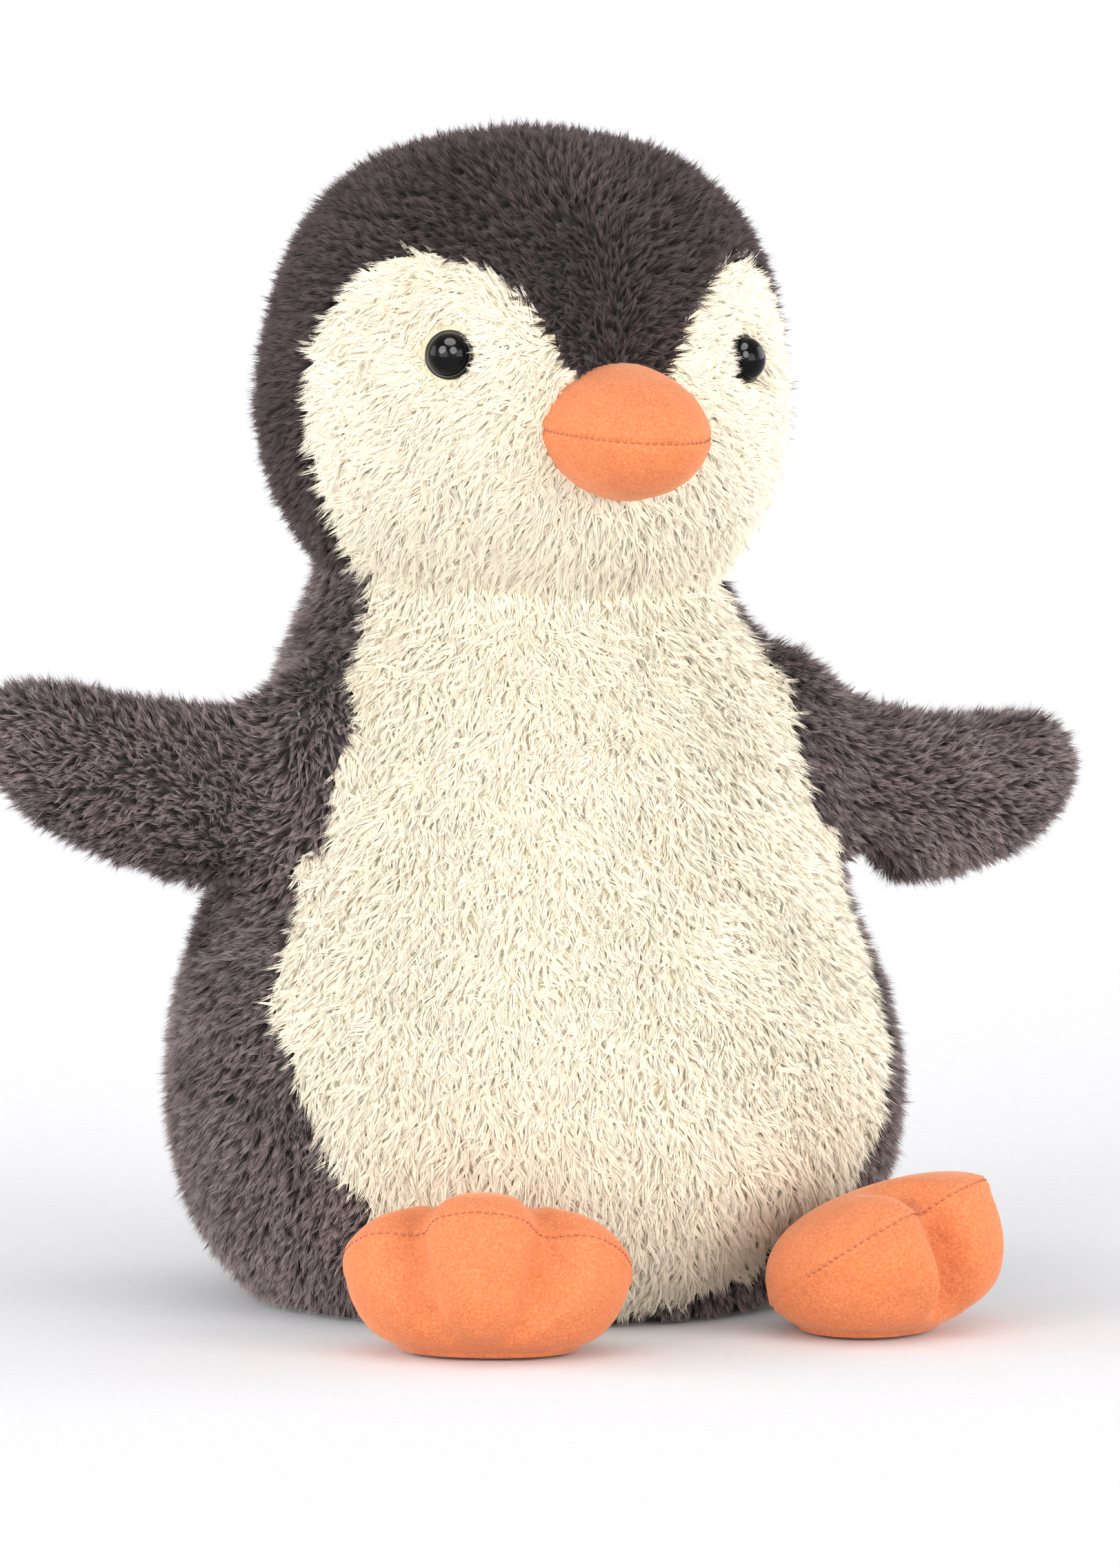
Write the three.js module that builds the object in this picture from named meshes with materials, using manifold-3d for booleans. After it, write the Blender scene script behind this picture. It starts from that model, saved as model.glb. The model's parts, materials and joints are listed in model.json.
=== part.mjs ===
// A sitting plush penguin, facing -Y, with its flat base on Z = 0.
// Fur panels are solids as thick as their cloth and pile together. Stuffing fills them.
import * as THREE from 'three';
import { mergeVertices } from 'three/addons/utils/BufferGeometryUtils.js';
import Module from 'manifold-3d';

const wasm = await Module();
wasm.setup();

// ---------- driving dimensions, in millimetres and degrees ----------

const seamGap = 0.3;
const moveGap = 1;
const pileThickness = 8;
const suedeThickness = 2.5;
const clothThickness = 1.1;

const headCentre = new THREE.Vector3(0, 0, 252);
const headRadius = 75;
const headTilt = 3;
const neckPivot = new THREE.Vector3(0, 0, 235);
const neckBallRadius = 65;
const neckRimHeight = 200.5;
const neckPlugRadius = 28;
const neckPlugBottom = 150;
const nodLimit = 15;

// Radius and height of the body's outline, from the edge of the flat base to the neck.
const bodyOutline = [
  [76, 0], [90, 13], [99, 32], [103, 56], [100.5, 82],
  [92, 110], [82, 142], [73, 170], [64, 190], [57, 206],
];
const bodyDepthRatio = 0.96;
const baseRadius = 71;
const baseThickness = 6;

// Height and half angle of the pale front panel, as seen from the body's centre line.
const bellyOutline = [
  [3, 4], [7, 19], [16, 33], [31, 44.5], [50, 54.5], [75, 62],
  [104, 70], [134, 67], [162, 64], [184, 66], [210, 70],
];

// Azimuth and elevation of a face panel's edge, as seen from the head's centre.
const faceOutline = [
  [0, 3], [9, 8], [15, 17], [25, 28.5], [41, 34.5], [56, 33.5],
  [67, 26.5], [75.5, 13.5], [76.5, -4], [75, -17], [73.5, -30], [75, -60],
];
const faceMiddle = new THREE.Vector2(40, -4);

const eyeAzimuth = 40.3;
const eyeElevation = 13.3;
const eyeDomeRadius = 6.1;
const eyeDomeHeight = 5.2;
const eyeFlangeRadius = 6.9;
const eyeFlangeThickness = 1.4;
const eyeFlangeBevel = 0.7;
const eyeShankRadius = 2.5;
const eyeShankDepth = 50;
const eyeWasherRadius = 10;
const eyeWasherThickness = 1.6;

const beakCentre = new THREE.Vector3(1, -70, 249.3);
const beakHalfWidth = 24;
const beakHalfHeight = 19.4;
const beakLength = 36.5;
// How round the beak's cross-section is: 1 is a diamond, 2 an ellipse.
const beakRoundness = { root: 1.7, tip: 2.2 };

const wingPivot = new THREE.Vector3(63, -18, 144);
const wingBallRadius = 27;
const wingRest = { left: -7.5, right: 7.5 };
const wingRaise = 25;
const wingDrop = 15;
// Sections of the wing: distance from the centre line, front-to-back centre and half
// thickness, centre height and half height.
const wingSections = [
  [56, -20, 24, 148, 40], [70, -18, 23, 145.5, 37], [84, -14, 20, 142, 32.5],
  [97, -11, 18, 140.5, 27], [111, -8, 17, 141.5, 23.5], [126, -5, 16.5, 143.5, 22.5],
  [140, -3, 15, 147, 20.5], [150, -1, 12.5, 150, 18], [157, 0, 9, 152.5, 13.5],
  [161, 0, 4, 153, 7.5],
];
const wingTip = 162.5;

const footHalfWidth = 41;
const footHalfLength = 40;
const footUpperThickness = 16;
const footSoleThickness = 25;
const footTilt = 33;
const footRadius = 124;
const footBearing = { left: 30, right: 26 };
const footHeight = 23.5;
const footTurn = { left: 48, right: 26 };
const footHingeRadius = 97;
const footHingeHeight = 18;
const footLift = 25;
const toeNotchAngle = 25;
const toeNotchWidth = 7;
const toeNotchDepth = 0.17;

const pouchRadius = 48;
const pouchHeight = 22;
const pouchNeckRadius = 6;

const darkFur = { color: '#544c4d', roughness: 0.95 };
const creamFur = { color: '#f8ecd4', roughness: 0.95 };
const orangeSuede = { color: '#f79a63', roughness: 0.9 };
const eyePlastic = { color: '#0b0b0d', roughness: 0.12 };
const washerPlastic = { color: '#d8d8d4', roughness: 0.5 };
const polyesterStuffing = { color: '#f4f3ef', roughness: 1 };
const pouchCloth = { color: '#e9e6df', roughness: 0.95 };
const pelletPlastic = { color: '#e4e0d6', roughness: 0.6 };

// ---------- shapes ----------

const radians = THREE.MathUtils.degToRad;

/** A closed solid for boolean work, from a closed three.js geometry. */
function solidFrom(geometry) {
  const bare = new THREE.BufferGeometry();
  bare.setAttribute('position', geometry.getAttribute('position').clone());
  bare.setIndex(geometry.index.clone());
  const merged = mergeVertices(bare, 1e-3);
  const corners = merged.index.array;
  const faces = [];
  for (let i = 0; i < corners.length; i += 3) {
    const [a, b, c] = corners.slice(i, i + 3);
    if (a !== b && b !== c && c !== a) faces.push(a, b, c);
  }
  return new wasm.Manifold(new wasm.Mesh({
    numProp: 3,
    vertProperties: new Float32Array(merged.getAttribute('position').array),
    triVerts: new Uint32Array(faces),
  }));
}

/** Six times the signed volume of a closed triangle mesh. */
function signedVolume(points, faces) {
  let sum = 0;
  for (let i = 0; i < faces.length; i += 3) {
    const [a, b, c] = [points[faces[i]], points[faces[i + 1]], points[faces[i + 2]]];
    sum += a.dot(b.clone().cross(c));
  }
  return sum;
}

/** A geometry through rings of equal count, closed by a point at each end. */
function loft(start, rings, end) {
  const points = [start, ...rings.flat(), end];
  const count = rings[0].length;
  const corner = (ring, i) => 1 + ring * count + (i % count);
  const faces = [];
  for (let i = 0; i < count; i++) {
    faces.push(0, corner(0, i + 1), corner(0, i));
    faces.push(points.length - 1, corner(rings.length - 1, i), corner(rings.length - 1, i + 1));
    for (let ring = 1; ring < rings.length; ring++) {
      const [a, b] = [corner(ring - 1, i), corner(ring - 1, i + 1)];
      const [c, d] = [corner(ring, i), corner(ring, i + 1)];
      faces.push(a, b, d, a, d, c);
    }
  }
  if (signedVolume(points, faces) < 0) faces.reverse();
  const geometry = new THREE.BufferGeometry().setFromPoints(points);
  geometry.setIndex(faces);
  return geometry;
}

/** Point at an azimuth from -Y towards +X and an elevation, in degrees. */
function direction(azimuth, elevation) {
  const level = Math.cos(radians(elevation));
  return new THREE.Vector3(
    level * Math.sin(radians(azimuth)),
    -level * Math.cos(radians(azimuth)),
    Math.sin(radians(elevation)),
  );
}

function ball(centre, radius, around = 28, down = 18) {
  const geometry = new THREE.SphereGeometry(radius, around, down);
  geometry.rotateX(Math.PI / 2);
  geometry.translate(centre.x, centre.y, centre.z);
  return solidFrom(geometry);
}

function box(low, high) {
  const geometry = new THREE.BoxGeometry(high[0] - low[0], high[1] - low[1], high[2] - low[2]);
  geometry.translate((low[0] + high[0]) / 2, (low[1] + high[1]) / 2, (low[2] + high[2]) / 2);
  return solidFrom(geometry);
}

/** Everything between two values along an axis. */
function slab(axis, from, to) {
  const reach = 400;
  const low = [-reach, -reach, -reach];
  const high = [reach, reach, reach];
  low[axis] = from;
  high[axis] = to;
  return box(low, high);
}

/** A turned solid. Its profile is [radius, height along the axis], closed on the axis. */
function turned(profile, origin, axis, around = 20) {
  const points = profile.map(([radius, height]) => new THREE.Vector2(radius, height));
  const geometry = new THREE.LatheGeometry(points, around);
  const up = new THREE.Vector3(0, 1, 0);
  geometry.applyQuaternion(new THREE.Quaternion().setFromUnitVectors(up, axis));
  geometry.translate(origin.x, origin.y, origin.z);
  return solidFrom(geometry);
}

function rod(radius, from, to, origin, axis, around = 20) {
  return turned([[0, from], [radius, from], [radius, to], [0, to]], origin, axis, around);
}

const upward = new THREE.Vector3(0, 0, 1);

/** The geometry turned about an axis through a pivot, by an angle in degrees. */
function swung(geometry, pivot, axis, angle) {
  const copy = geometry.clone();
  copy.translate(-pivot.x, -pivot.y, -pivot.z);
  copy.applyQuaternion(new THREE.Quaternion().setFromAxisAngle(axis, radians(angle)));
  copy.translate(pivot.x, pivot.y, pivot.z);
  return copy;
}

/** The space an obstacle takes up as seen from a part that swings between two angles. */
function sweptSpace(geometry, pivot, axis, low, high) {
  const steps = 4;
  let space = null;
  for (let i = 0; i <= steps; i++) {
    const angle = low + (high - low) * i / steps;
    const placed = solidFrom(swung(geometry, pivot, axis, -angle));
    space = space ? space.add(placed) : placed;
  }
  return space;
}

// ---------- body ----------

/** The body's outline, drawn in by an inset all round and lofted from base to neck. */
function bodyGeometry(inset, steps = 12, around = 28) {
  const curve = new THREE.SplineCurve(bodyOutline.map(([r, z]) => new THREE.Vector2(r, z)));
  const rings = [];
  for (let i = 0; i <= steps; i++) {
    const point = curve.getPoint(i / steps);
    const along = curve.getTangent(i / steps);
    const radius = point.x - inset * along.y;
    const depth = point.x * bodyDepthRatio - inset * along.y;
    const height = point.y + inset * along.x;
    const ring = [];
    for (let j = 0; j < around; j++) {
      const flat = direction(360 * j / around, 0);
      ring.push(new THREE.Vector3(radius * flat.x, depth * flat.y, height));
    }
    rings.push(ring);
  }
  const bottom = new THREE.Vector3(0, 0, rings[0][0].z);
  const top = new THREE.Vector3(0, 0, rings[steps][0].z);
  return loft(bottom, rings, top);
}

/** A wedge from the centre line that cuts out the belly panel, widened by a margin. */
function bellyWedge(margin) {
  const reach = 140;
  const steps = 12;
  const across = 6;
  const curve = new THREE.SplineCurve(bellyOutline.map(([z, a]) => new THREE.Vector2(z, a)));
  const rings = [];
  for (let i = 0; i <= steps; i++) {
    const point = curve.getPoint(i / steps);
    const height = point.x + (i === 0 ? -margin : 0);
    const half = point.y + THREE.MathUtils.radToDeg(margin / headRadius);
    const ring = [new THREE.Vector3(0, 0, height)];
    for (let j = 0; j <= across; j++) {
      const spoke = direction(half * (2 * j / across - 1), 0).multiplyScalar(reach);
      ring.push(spoke.setZ(height));
    }
    rings.push(ring);
  }
  const middle = (ring) => new THREE.Vector3(0, -reach / 2, ring[0].z);
  return solidFrom(loft(middle(rings[0]), rings, middle(rings[steps])));
}

/** The room the head needs: it turns all round and nods, so its centre can move sideways. */
function headRoom() {
  const shift = (headCentre.z - neckPivot.z) * Math.sin(radians(nodLimit));
  const radius = headRadius + moveGap;
  const profile = [[0, headCentre.z - radius]];
  const steps = 9;
  for (let i = 0; i <= steps; i++) {
    const angle = Math.PI / 2 * (i / steps - 1);
    profile.push([shift + radius * Math.cos(angle), headCentre.z + radius * Math.sin(angle)]);
  }
  profile.push([0, headCentre.z]);
  const bowl = turned(profile, new THREE.Vector3(), upward, 28);
  return bowl.add(ball(neckPivot, neckBallRadius + moveGap));
}

const sides = [{ name: 'left', sign: 1 }, { name: 'right', sign: -1 }];

function mirrored(point, sign) {
  return new THREE.Vector3(point.x * sign, point.y, point.z);
}

const bodyOuter = solidFrom(bodyGeometry(0));
const bodyInner = solidFrom(bodyGeometry(pileThickness, 8, 20));
const headSpace = headRoom();
const wingSockets = sides
  .map(({ sign }) => ball(mirrored(wingPivot, sign), wingBallRadius + moveGap, 20, 12))
  .reduce((both, socket) => both.add(socket));

function basePlate(radius, top) {
  const profile = [[0, -1], [radius, -1], [radius, top], [0, top]];
  const geometry = new THREE.LatheGeometry(profile.map(([r, z]) => new THREE.Vector2(r, z)), 32);
  geometry.rotateX(Math.PI / 2);
  geometry.scale(1, bodyDepthRatio, 1);
  return solidFrom(geometry);
}

function bodyPanels() {
  const skin = bodyOuter.subtract(bodyInner)
    .subtract(headSpace)
    .subtract(wingSockets)
    .subtract(basePlate(baseRadius + seamGap, baseThickness + 2));
  const back = skin.subtract(bellyWedge(seamGap));
  return {
    belly_panel: skin.intersect(bellyWedge(0)),
    body_side_left: back.intersect(slab(0, seamGap / 2, 400)),
    body_side_right: back.intersect(slab(0, -400, -seamGap / 2)),
    base_panel: bodyOuter.intersect(basePlate(baseRadius, baseThickness)),
  };
}

function bodyStuffing() {
  const filling = solidFrom(bodyGeometry(pileThickness + seamGap, 8, 20));
  const pouchRoom = rod(pouchRadius + seamGap, -1, baseThickness + pouchHeight + 2 * seamGap,
    new THREE.Vector3(), upward, 28);
  const plugRoom = rod(neckPlugRadius + moveGap, neckPlugBottom - seamGap, 230,
    new THREE.Vector3(), upward, 28);
  return filling.intersect(slab(2, baseThickness + seamGap, 400))
    .subtract(headSpace)
    .subtract(wingSockets)
    .subtract(pouchRoom)
    .subtract(plugRoom);
}

/** The pellet pouch on the base: a cloth bag with a filling hole, and its pellets. */
function pelletPouch() {
  const bottom = baseThickness + seamGap;
  const top = bottom + pouchHeight;
  const origin = new THREE.Vector3();
  const outside = rod(pouchRadius, bottom, top, origin, upward, 28);
  const inside = rod(pouchRadius - clothThickness, bottom + clothThickness,
    top - clothThickness, origin, upward, 28);
  const hole = rod(pouchNeckRadius, top - 2 * clothThickness, top + 1, origin, upward, 16);
  const margin = clothThickness + seamGap;
  return {
    bean_pouch: outside.subtract(inside).subtract(hole),
    bean_fill: rod(pouchRadius - margin, bottom + margin, top - margin, origin, upward, 28),
  };
}

function neckPlug() {
  return rod(neckPlugRadius, neckPlugBottom, neckPivot.z, new THREE.Vector3(), upward, 28)
    .subtract(ball(neckPivot, neckBallRadius + moveGap));
}

// ---------- head ----------

const frontToBack = new THREE.Vector3(0, 1, 0);

/** A solid turned about a front-to-back line through a point, in degrees. */
function rolled(solid, { x, y, z }, angle) {
  return solid.translate([-x, -y, -z]).rotate([0, angle, 0]).translate([x, y, z]);
}

/** The head leans a little to one side, with its face, beak and seams. */
const tilted = (solid) => rolled(solid, headCentre, headTilt);

/** A cone from the head's centre that cuts out one face panel, widened by a margin. */
function faceCone(sign, margin) {
  const reach = 130;
  const steps = 24;
  const widen = THREE.MathUtils.radToDeg(margin / headRadius);
  const curve = new THREE.SplineCurve(faceOutline.map(([a, e]) => new THREE.Vector2(a, e)));
  const edge = curve.getSpacedPoints(steps);
  const chin = faceOutline[faceOutline.length - 1][1];
  const seam = THREE.MathUtils.radToDeg(seamGap / 2 / headRadius);
  edge.push(new THREE.Vector2(faceMiddle.x, chin), new THREE.Vector2(0, chin),
    new THREE.Vector2(0, chin / 3));
  const spoke = (azimuth, elevation) => direction(azimuth * sign, elevation)
    .multiplyScalar(reach).add(headCentre);
  const ring = edge.map((point) => {
    const outwards = point.clone().sub(faceMiddle).setLength(widen);
    const placed = point.clone().add(outwards);
    const azimuth = margin > 0 ? placed.x : Math.max(placed.x, seam);
    return spoke(azimuth, placed.y);
  });
  return solidFrom(loft(headCentre, [ring], spoke(faceMiddle.x, faceMiddle.y)));
}

function beakGeometry(inset) {
  const latitudes = inset > 0 ? 6 : 9;
  const around = inset > 0 ? 14 : 22;
  const width = beakHalfWidth - inset;
  const height = beakHalfHeight - inset;
  const length = beakLength - inset;
  const rings = [];
  for (let i = 1; i < latitudes; i++) {
    const latitude = Math.PI * (i / latitudes - 0.5);
    const forward = Math.max(Math.sin(latitude), 0);
    const power = THREE.MathUtils.lerp(beakRoundness.root, beakRoundness.tip, forward);
    const ring = [];
    for (let j = 0; j < around; j++) {
      const angle = 2 * Math.PI * j / around;
      const across = Math.abs(Math.cos(angle) / width) ** power;
      const upright = Math.abs(Math.sin(angle) / height) ** power;
      const radius = Math.cos(latitude) * (across + upright) ** (-1 / power);
      ring.push(new THREE.Vector3(
        radius * Math.cos(angle),
        -length * Math.sin(latitude),
        radius * Math.sin(angle),
      ).add(beakCentre));
    }
    rings.push(ring);
  }
  const tip = (reach) => beakCentre.clone().add(new THREE.Vector3(0, reach, 0));
  return loft(tip(length), rings, tip(-length));
}

const clothRadius = headRadius - pileThickness;
const eyeSeat = clothRadius + clothThickness + seamGap;

function eyeSolid(axis) {
  const rim = eyeSeat + eyeFlangeThickness;
  const domeFoot = rim + eyeFlangeBevel / 2;
  const profile = [
    [0, eyeShankDepth], [eyeShankRadius, eyeShankDepth], [eyeShankRadius, eyeSeat],
    [eyeFlangeRadius, eyeSeat], [eyeFlangeRadius, rim],
    [eyeFlangeRadius - eyeFlangeBevel, rim + eyeFlangeBevel], [eyeDomeRadius, domeFoot],
  ];
  const steps = 6;
  for (let i = 1; i <= steps; i++) {
    const angle = Math.PI / 2 * i / steps;
    const radius = i === steps ? 0 : eyeDomeRadius * Math.cos(angle);
    profile.push([radius, domeFoot + eyeDomeHeight * Math.sin(angle)]);
  }
  return turned(profile, headCentre, axis);
}

function washerSolid(axis) {
  const top = clothRadius - seamGap;
  const disc = rod(eyeWasherRadius, top - eyeWasherThickness, top, headCentre, axis);
  return disc.subtract(rod(eyeShankRadius + seamGap, 0, 100, headCentre, axis));
}

/** The room an eye takes in the pile, the cloth and the stuffing. */
function eyeRoom(axis) {
  const recess = rod(eyeFlangeRadius + seamGap, eyeSeat - seamGap, 100, headCentre, axis);
  const shank = rod(eyeShankRadius + seamGap, eyeShankDepth - seamGap, 100, headCentre, axis);
  const washerBottom = clothRadius - 2 * seamGap - eyeWasherThickness;
  const washer = rod(eyeWasherRadius + seamGap, washerBottom, clothRadius - seamGap / 2,
    headCentre, axis);
  return recess.add(shank).add(washer);
}

const eyeAxes = sides.map(({ sign }) => direction(eyeAzimuth * sign, eyeElevation)
  .applyAxisAngle(frontToBack, radians(headTilt)));
const eyeRooms = eyeAxes.map(eyeRoom).reduce((both, room) => both.add(room));

function headPanels() {
  const skin = ball(headCentre, headRadius)
    .subtract(ball(headCentre, clothRadius, 20, 14))
    .intersect(slab(2, neckRimHeight, 400))
    .subtract(tilted(solidFrom(beakGeometry(-seamGap))))
    .subtract(eyeRooms);
  const leftHalf = tilted(slab(0, seamGap / 2, 400));
  const rightHalf = tilted(slab(0, -400, -seamGap / 2));
  const dark = skin
    .subtract(tilted(faceCone(1, seamGap)))
    .subtract(tilted(faceCone(-1, seamGap)));
  return {
    head_side_left: dark.intersect(leftHalf),
    head_side_right: dark.intersect(rightHalf),
    face_left: skin.intersect(tilted(faceCone(1, 0))).intersect(leftHalf),
    face_right: skin.intersect(tilted(faceCone(-1, 0))).intersect(rightHalf),
  };
}

function headStuffing() {
  const neck = ball(neckPivot, neckBallRadius)
    .intersect(slab(2, 0, neckRimHeight - seamGap));
  return ball(headCentre, clothRadius - seamGap, 20, 14).add(neck).subtract(eyeRooms);
}

function beakPieces() {
  const behind = ball(headCentre, clothRadius + seamGap, 20, 14);
  const cover = solidFrom(beakGeometry(0))
    .subtract(solidFrom(beakGeometry(suedeThickness)))
    .subtract(behind);
  const filling = solidFrom(beakGeometry(suedeThickness + seamGap)).subtract(behind);
  return {
    beak_upper: tilted(cover.intersect(slab(2, beakCentre.z + seamGap / 2, 400))),
    beak_lower: tilted(cover.intersect(slab(2, 0, beakCentre.z - seamGap / 2))),
    beak_stuffing: tilted(filling),
  };
}

// ---------- wings ----------

/** The wing's solid. An inset draws each section in, by less where the wing is thin. */
function wingSolid(sign, inset) {
  const around = 18;
  const root = wingSections[0][0];
  const shorten = (wingTip - root - inset) / (wingTip - root);
  const place = (x) => sign * (root + (x - root) * shorten);
  const drawnIn = (half) => half * half / (half + inset);
  const rings = wingSections.map(([x, y, halfThickness, z, halfHeight]) => {
    const ring = [];
    for (let i = 0; i < around; i++) {
      const angle = 2 * Math.PI * i / around;
      ring.push(new THREE.Vector3(
        place(x),
        y + drawnIn(halfThickness) * Math.cos(angle),
        z + drawnIn(halfHeight) * Math.sin(angle),
      ));
    }
    return ring;
  });
  const cap = ([, y, , z], x) => new THREE.Vector3(place(x), y, z);
  const last = wingSections[wingSections.length - 1];
  return solidFrom(loft(cap(wingSections[0], root), rings, cap(last, wingTip)));
}

/** Everything in front of the seam that runs round the wing's edge. */
function wingFrontHalf(sign, shift) {
  const reach = 60;
  const low = wingPivot.z - reach;
  const high = wingPivot.z + reach;
  const rings = wingSections.map(([x, y]) => [
    [y + shift, low], [y + shift, high], [y - reach, high], [y - reach, low],
  ].map(([across, height]) => new THREE.Vector3(sign * x, across, height)));
  const beyond = rings[rings.length - 1].map((point) => point.clone().setX(sign * 2 * wingTip));
  const within = rings[0].map((point) => point.clone().setX(sign * wingPivot.x / 2));
  rings.push(beyond);
  rings.unshift(within);
  const middle = (ring) => ring[0].clone().add(ring[2]).multiplyScalar(0.5);
  return solidFrom(loft(middle(within), rings, middle(beyond)));
}

function wingPieces({ name, sign }) {
  const pivot = mirrored(wingPivot, sign);
  const low = sign > 0 ? -wingRaise : -wingDrop;
  const high = sign > 0 ? wingDrop : wingRaise;
  const clear = sweptSpace(bodyGeometry(-2 * moveGap, 8, 20), pivot, frontToBack, low, high);
  const rootBall = ball(pivot, wingBallRadius, 20, 12);
  const raised = (solid) => rolled(solid, pivot, -sign * wingRest[name]);
  const skin = raised(wingSolid(sign, 0).subtract(wingSolid(sign, pileThickness)))
    .subtract(clear)
    .subtract(ball(pivot, wingBallRadius + seamGap, 20, 12));
  const filling = raised(wingSolid(sign, pileThickness + seamGap)).subtract(clear);
  return {
    [`wing_${name}_front`]: skin.intersect(raised(wingFrontHalf(sign, -seamGap / 2))),
    [`wing_${name}_back`]: skin.subtract(raised(wingFrontHalf(sign, seamGap / 2))),
    [`wing_${name}_stuffing`]: filling.add(rootBall),
  };
}

// ---------- feet ----------

/** The foot's own axes: across, towards the toes, and out of its upper side. */
function footFrame({ name, sign }) {
  const bearing = footTurn[name] * sign;
  const ahead = direction(bearing, 0);
  const toes = direction(bearing, footTilt);
  const across = ahead.clone().cross(upward);
  const centre = direction(footBearing[name] * sign, 0).multiplyScalar(footRadius)
    .setZ(footHeight);
  return { centre, across, toes, top: across.clone().cross(toes) };
}

/** How much the outline is drawn in between two toes, from 0 to 1. */
function toeNotch(angle) {
  const notches = [90 - toeNotchAngle, 90 + toeNotchAngle];
  return notches.reduce((sum, at) => sum + Math.exp(-(((angle - at) / toeNotchWidth) ** 2)), 0);
}

function footGeometry(side, inset) {
  const { centre, across, toes, top } = footFrame(side);
  const latitudes = inset > 0 ? 6 : 8;
  const around = inset > 0 ? 18 : 30;
  const place = (x, y, z) => centre.clone()
    .addScaledVector(across, x).addScaledVector(toes, y).addScaledVector(top, z);
  const upper = footUpperThickness - inset;
  const sole = footSoleThickness - inset;
  const rings = [];
  for (let i = 1; i < latitudes; i++) {
    const latitude = Math.PI * (i / latitudes - 0.5);
    const spread = Math.cos(latitude);
    const ring = [];
    for (let j = 0; j < around; j++) {
      const angle = 2 * Math.PI * j / around;
      const notch = 1 - toeNotchDepth * toeNotch(360 * j / around) * spread;
      ring.push(place(
        (footHalfWidth - inset) * spread * notch * Math.cos(angle),
        (footHalfLength - inset) * spread * notch * Math.sin(angle),
        (latitude > 0 ? upper : sole) * Math.sin(latitude),
      ));
    }
    rings.push(ring);
  }
  return loft(place(0, 0, -sole), rings, place(0, 0, upper));
}

/** A flat-bottomed half space on the upper side of the foot's seam. */
function aboveFootSeam(side, shift) {
  const { centre, across, toes, top } = footFrame(side);
  const reach = 90;
  const geometry = new THREE.BoxGeometry(2 * reach, 2 * reach, reach);
  geometry.translate(0, 0, reach / 2 + shift);
  geometry.applyMatrix4(new THREE.Matrix4().makeBasis(across, toes, top).setPosition(centre));
  return solidFrom(geometry);
}

function footHinge({ name, sign }) {
  const outward = direction(footBearing[name] * sign, 0);
  return {
    pivot: outward.clone().multiplyScalar(footHingeRadius).setZ(footHingeHeight),
    axis: outward.clone().cross(upward),
  };
}

function footPieces(side) {
  const { pivot, axis } = footHinge(side);
  const clear = sweptSpace(bodyGeometry(-2 * moveGap, 8, 20), pivot, axis, 0, footLift);
  const onFloor = (inset) => solidFrom(footGeometry(side, inset))
    .intersect(slab(2, inset, 400));
  const cover = onFloor(0).subtract(onFloor(suedeThickness)).subtract(clear);
  return {
    [`foot_${side.name}_upper`]: cover.intersect(aboveFootSeam(side, seamGap / 2)),
    [`foot_${side.name}_sole`]: cover.subtract(aboveFootSeam(side, -seamGap / 2)),
    [`foot_${side.name}_stuffing`]: onFloor(suedeThickness + seamGap).subtract(clear),
  };
}

// ---------- assembly ----------

const penguin = new THREE.Group();
penguin.name = 'plush_penguin';

function addPieces(pieces, look) {
  for (const [name, solid] of Object.entries(pieces)) {
    const { vertProperties, triVerts } = solid.getMesh();
    const geometry = new THREE.BufferGeometry();
    geometry.setAttribute('position', new THREE.BufferAttribute(vertProperties, 3));
    geometry.setIndex(new THREE.BufferAttribute(triVerts, 1));
    geometry.computeVertexNormals();
    const material = new THREE.MeshStandardMaterial({ ...look(name), metalness: 0 });
    const mesh = new THREE.Mesh(geometry, material);
    mesh.name = name;
    penguin.add(mesh);
  }
}

const furLook = (name) => (/^(face|belly)/.test(name) ? creamFur : darkFur);
const suedeLook = (name) => (/stuffing/.test(name) ? polyesterStuffing : orangeSuede);

addPieces(bodyPanels(), furLook);
addPieces(headPanels(), furLook);
addPieces({ body_stuffing: bodyStuffing(), neck_stuffing: neckPlug() }, () => polyesterStuffing);
addPieces({ head_stuffing: headStuffing() }, () => polyesterStuffing);
addPieces(pelletPouch(), (name) => (name === 'bean_fill' ? pelletPlastic : pouchCloth));
addPieces(beakPieces(), suedeLook);
sides.forEach((side, i) => {
  addPieces({ [`eye_${side.name}`]: eyeSolid(eyeAxes[i]) }, () => eyePlastic);
  addPieces({ [`eye_washer_${side.name}`]: washerSolid(eyeAxes[i]) }, () => washerPlastic);
  addPieces(wingPieces(side), (name) => (/stuffing/.test(name) ? polyesterStuffing : darkFur));
  addPieces(footPieces(side), suedeLook);
});

export default penguin;
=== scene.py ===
"""A sitting plush penguin: fur fabric, suede and glossy eyes, on a pale floor.

Metres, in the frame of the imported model. The fur is real geometry: tufts of tapered strands
grow from a stuffed cloth skin that lies inside the outline of the CAD panels.
"""

import json
import math

import bmesh
import bpy
import numpy as np
from mathutils import Matrix, Vector
from mathutils.bvhtree import BVHTree


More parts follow.
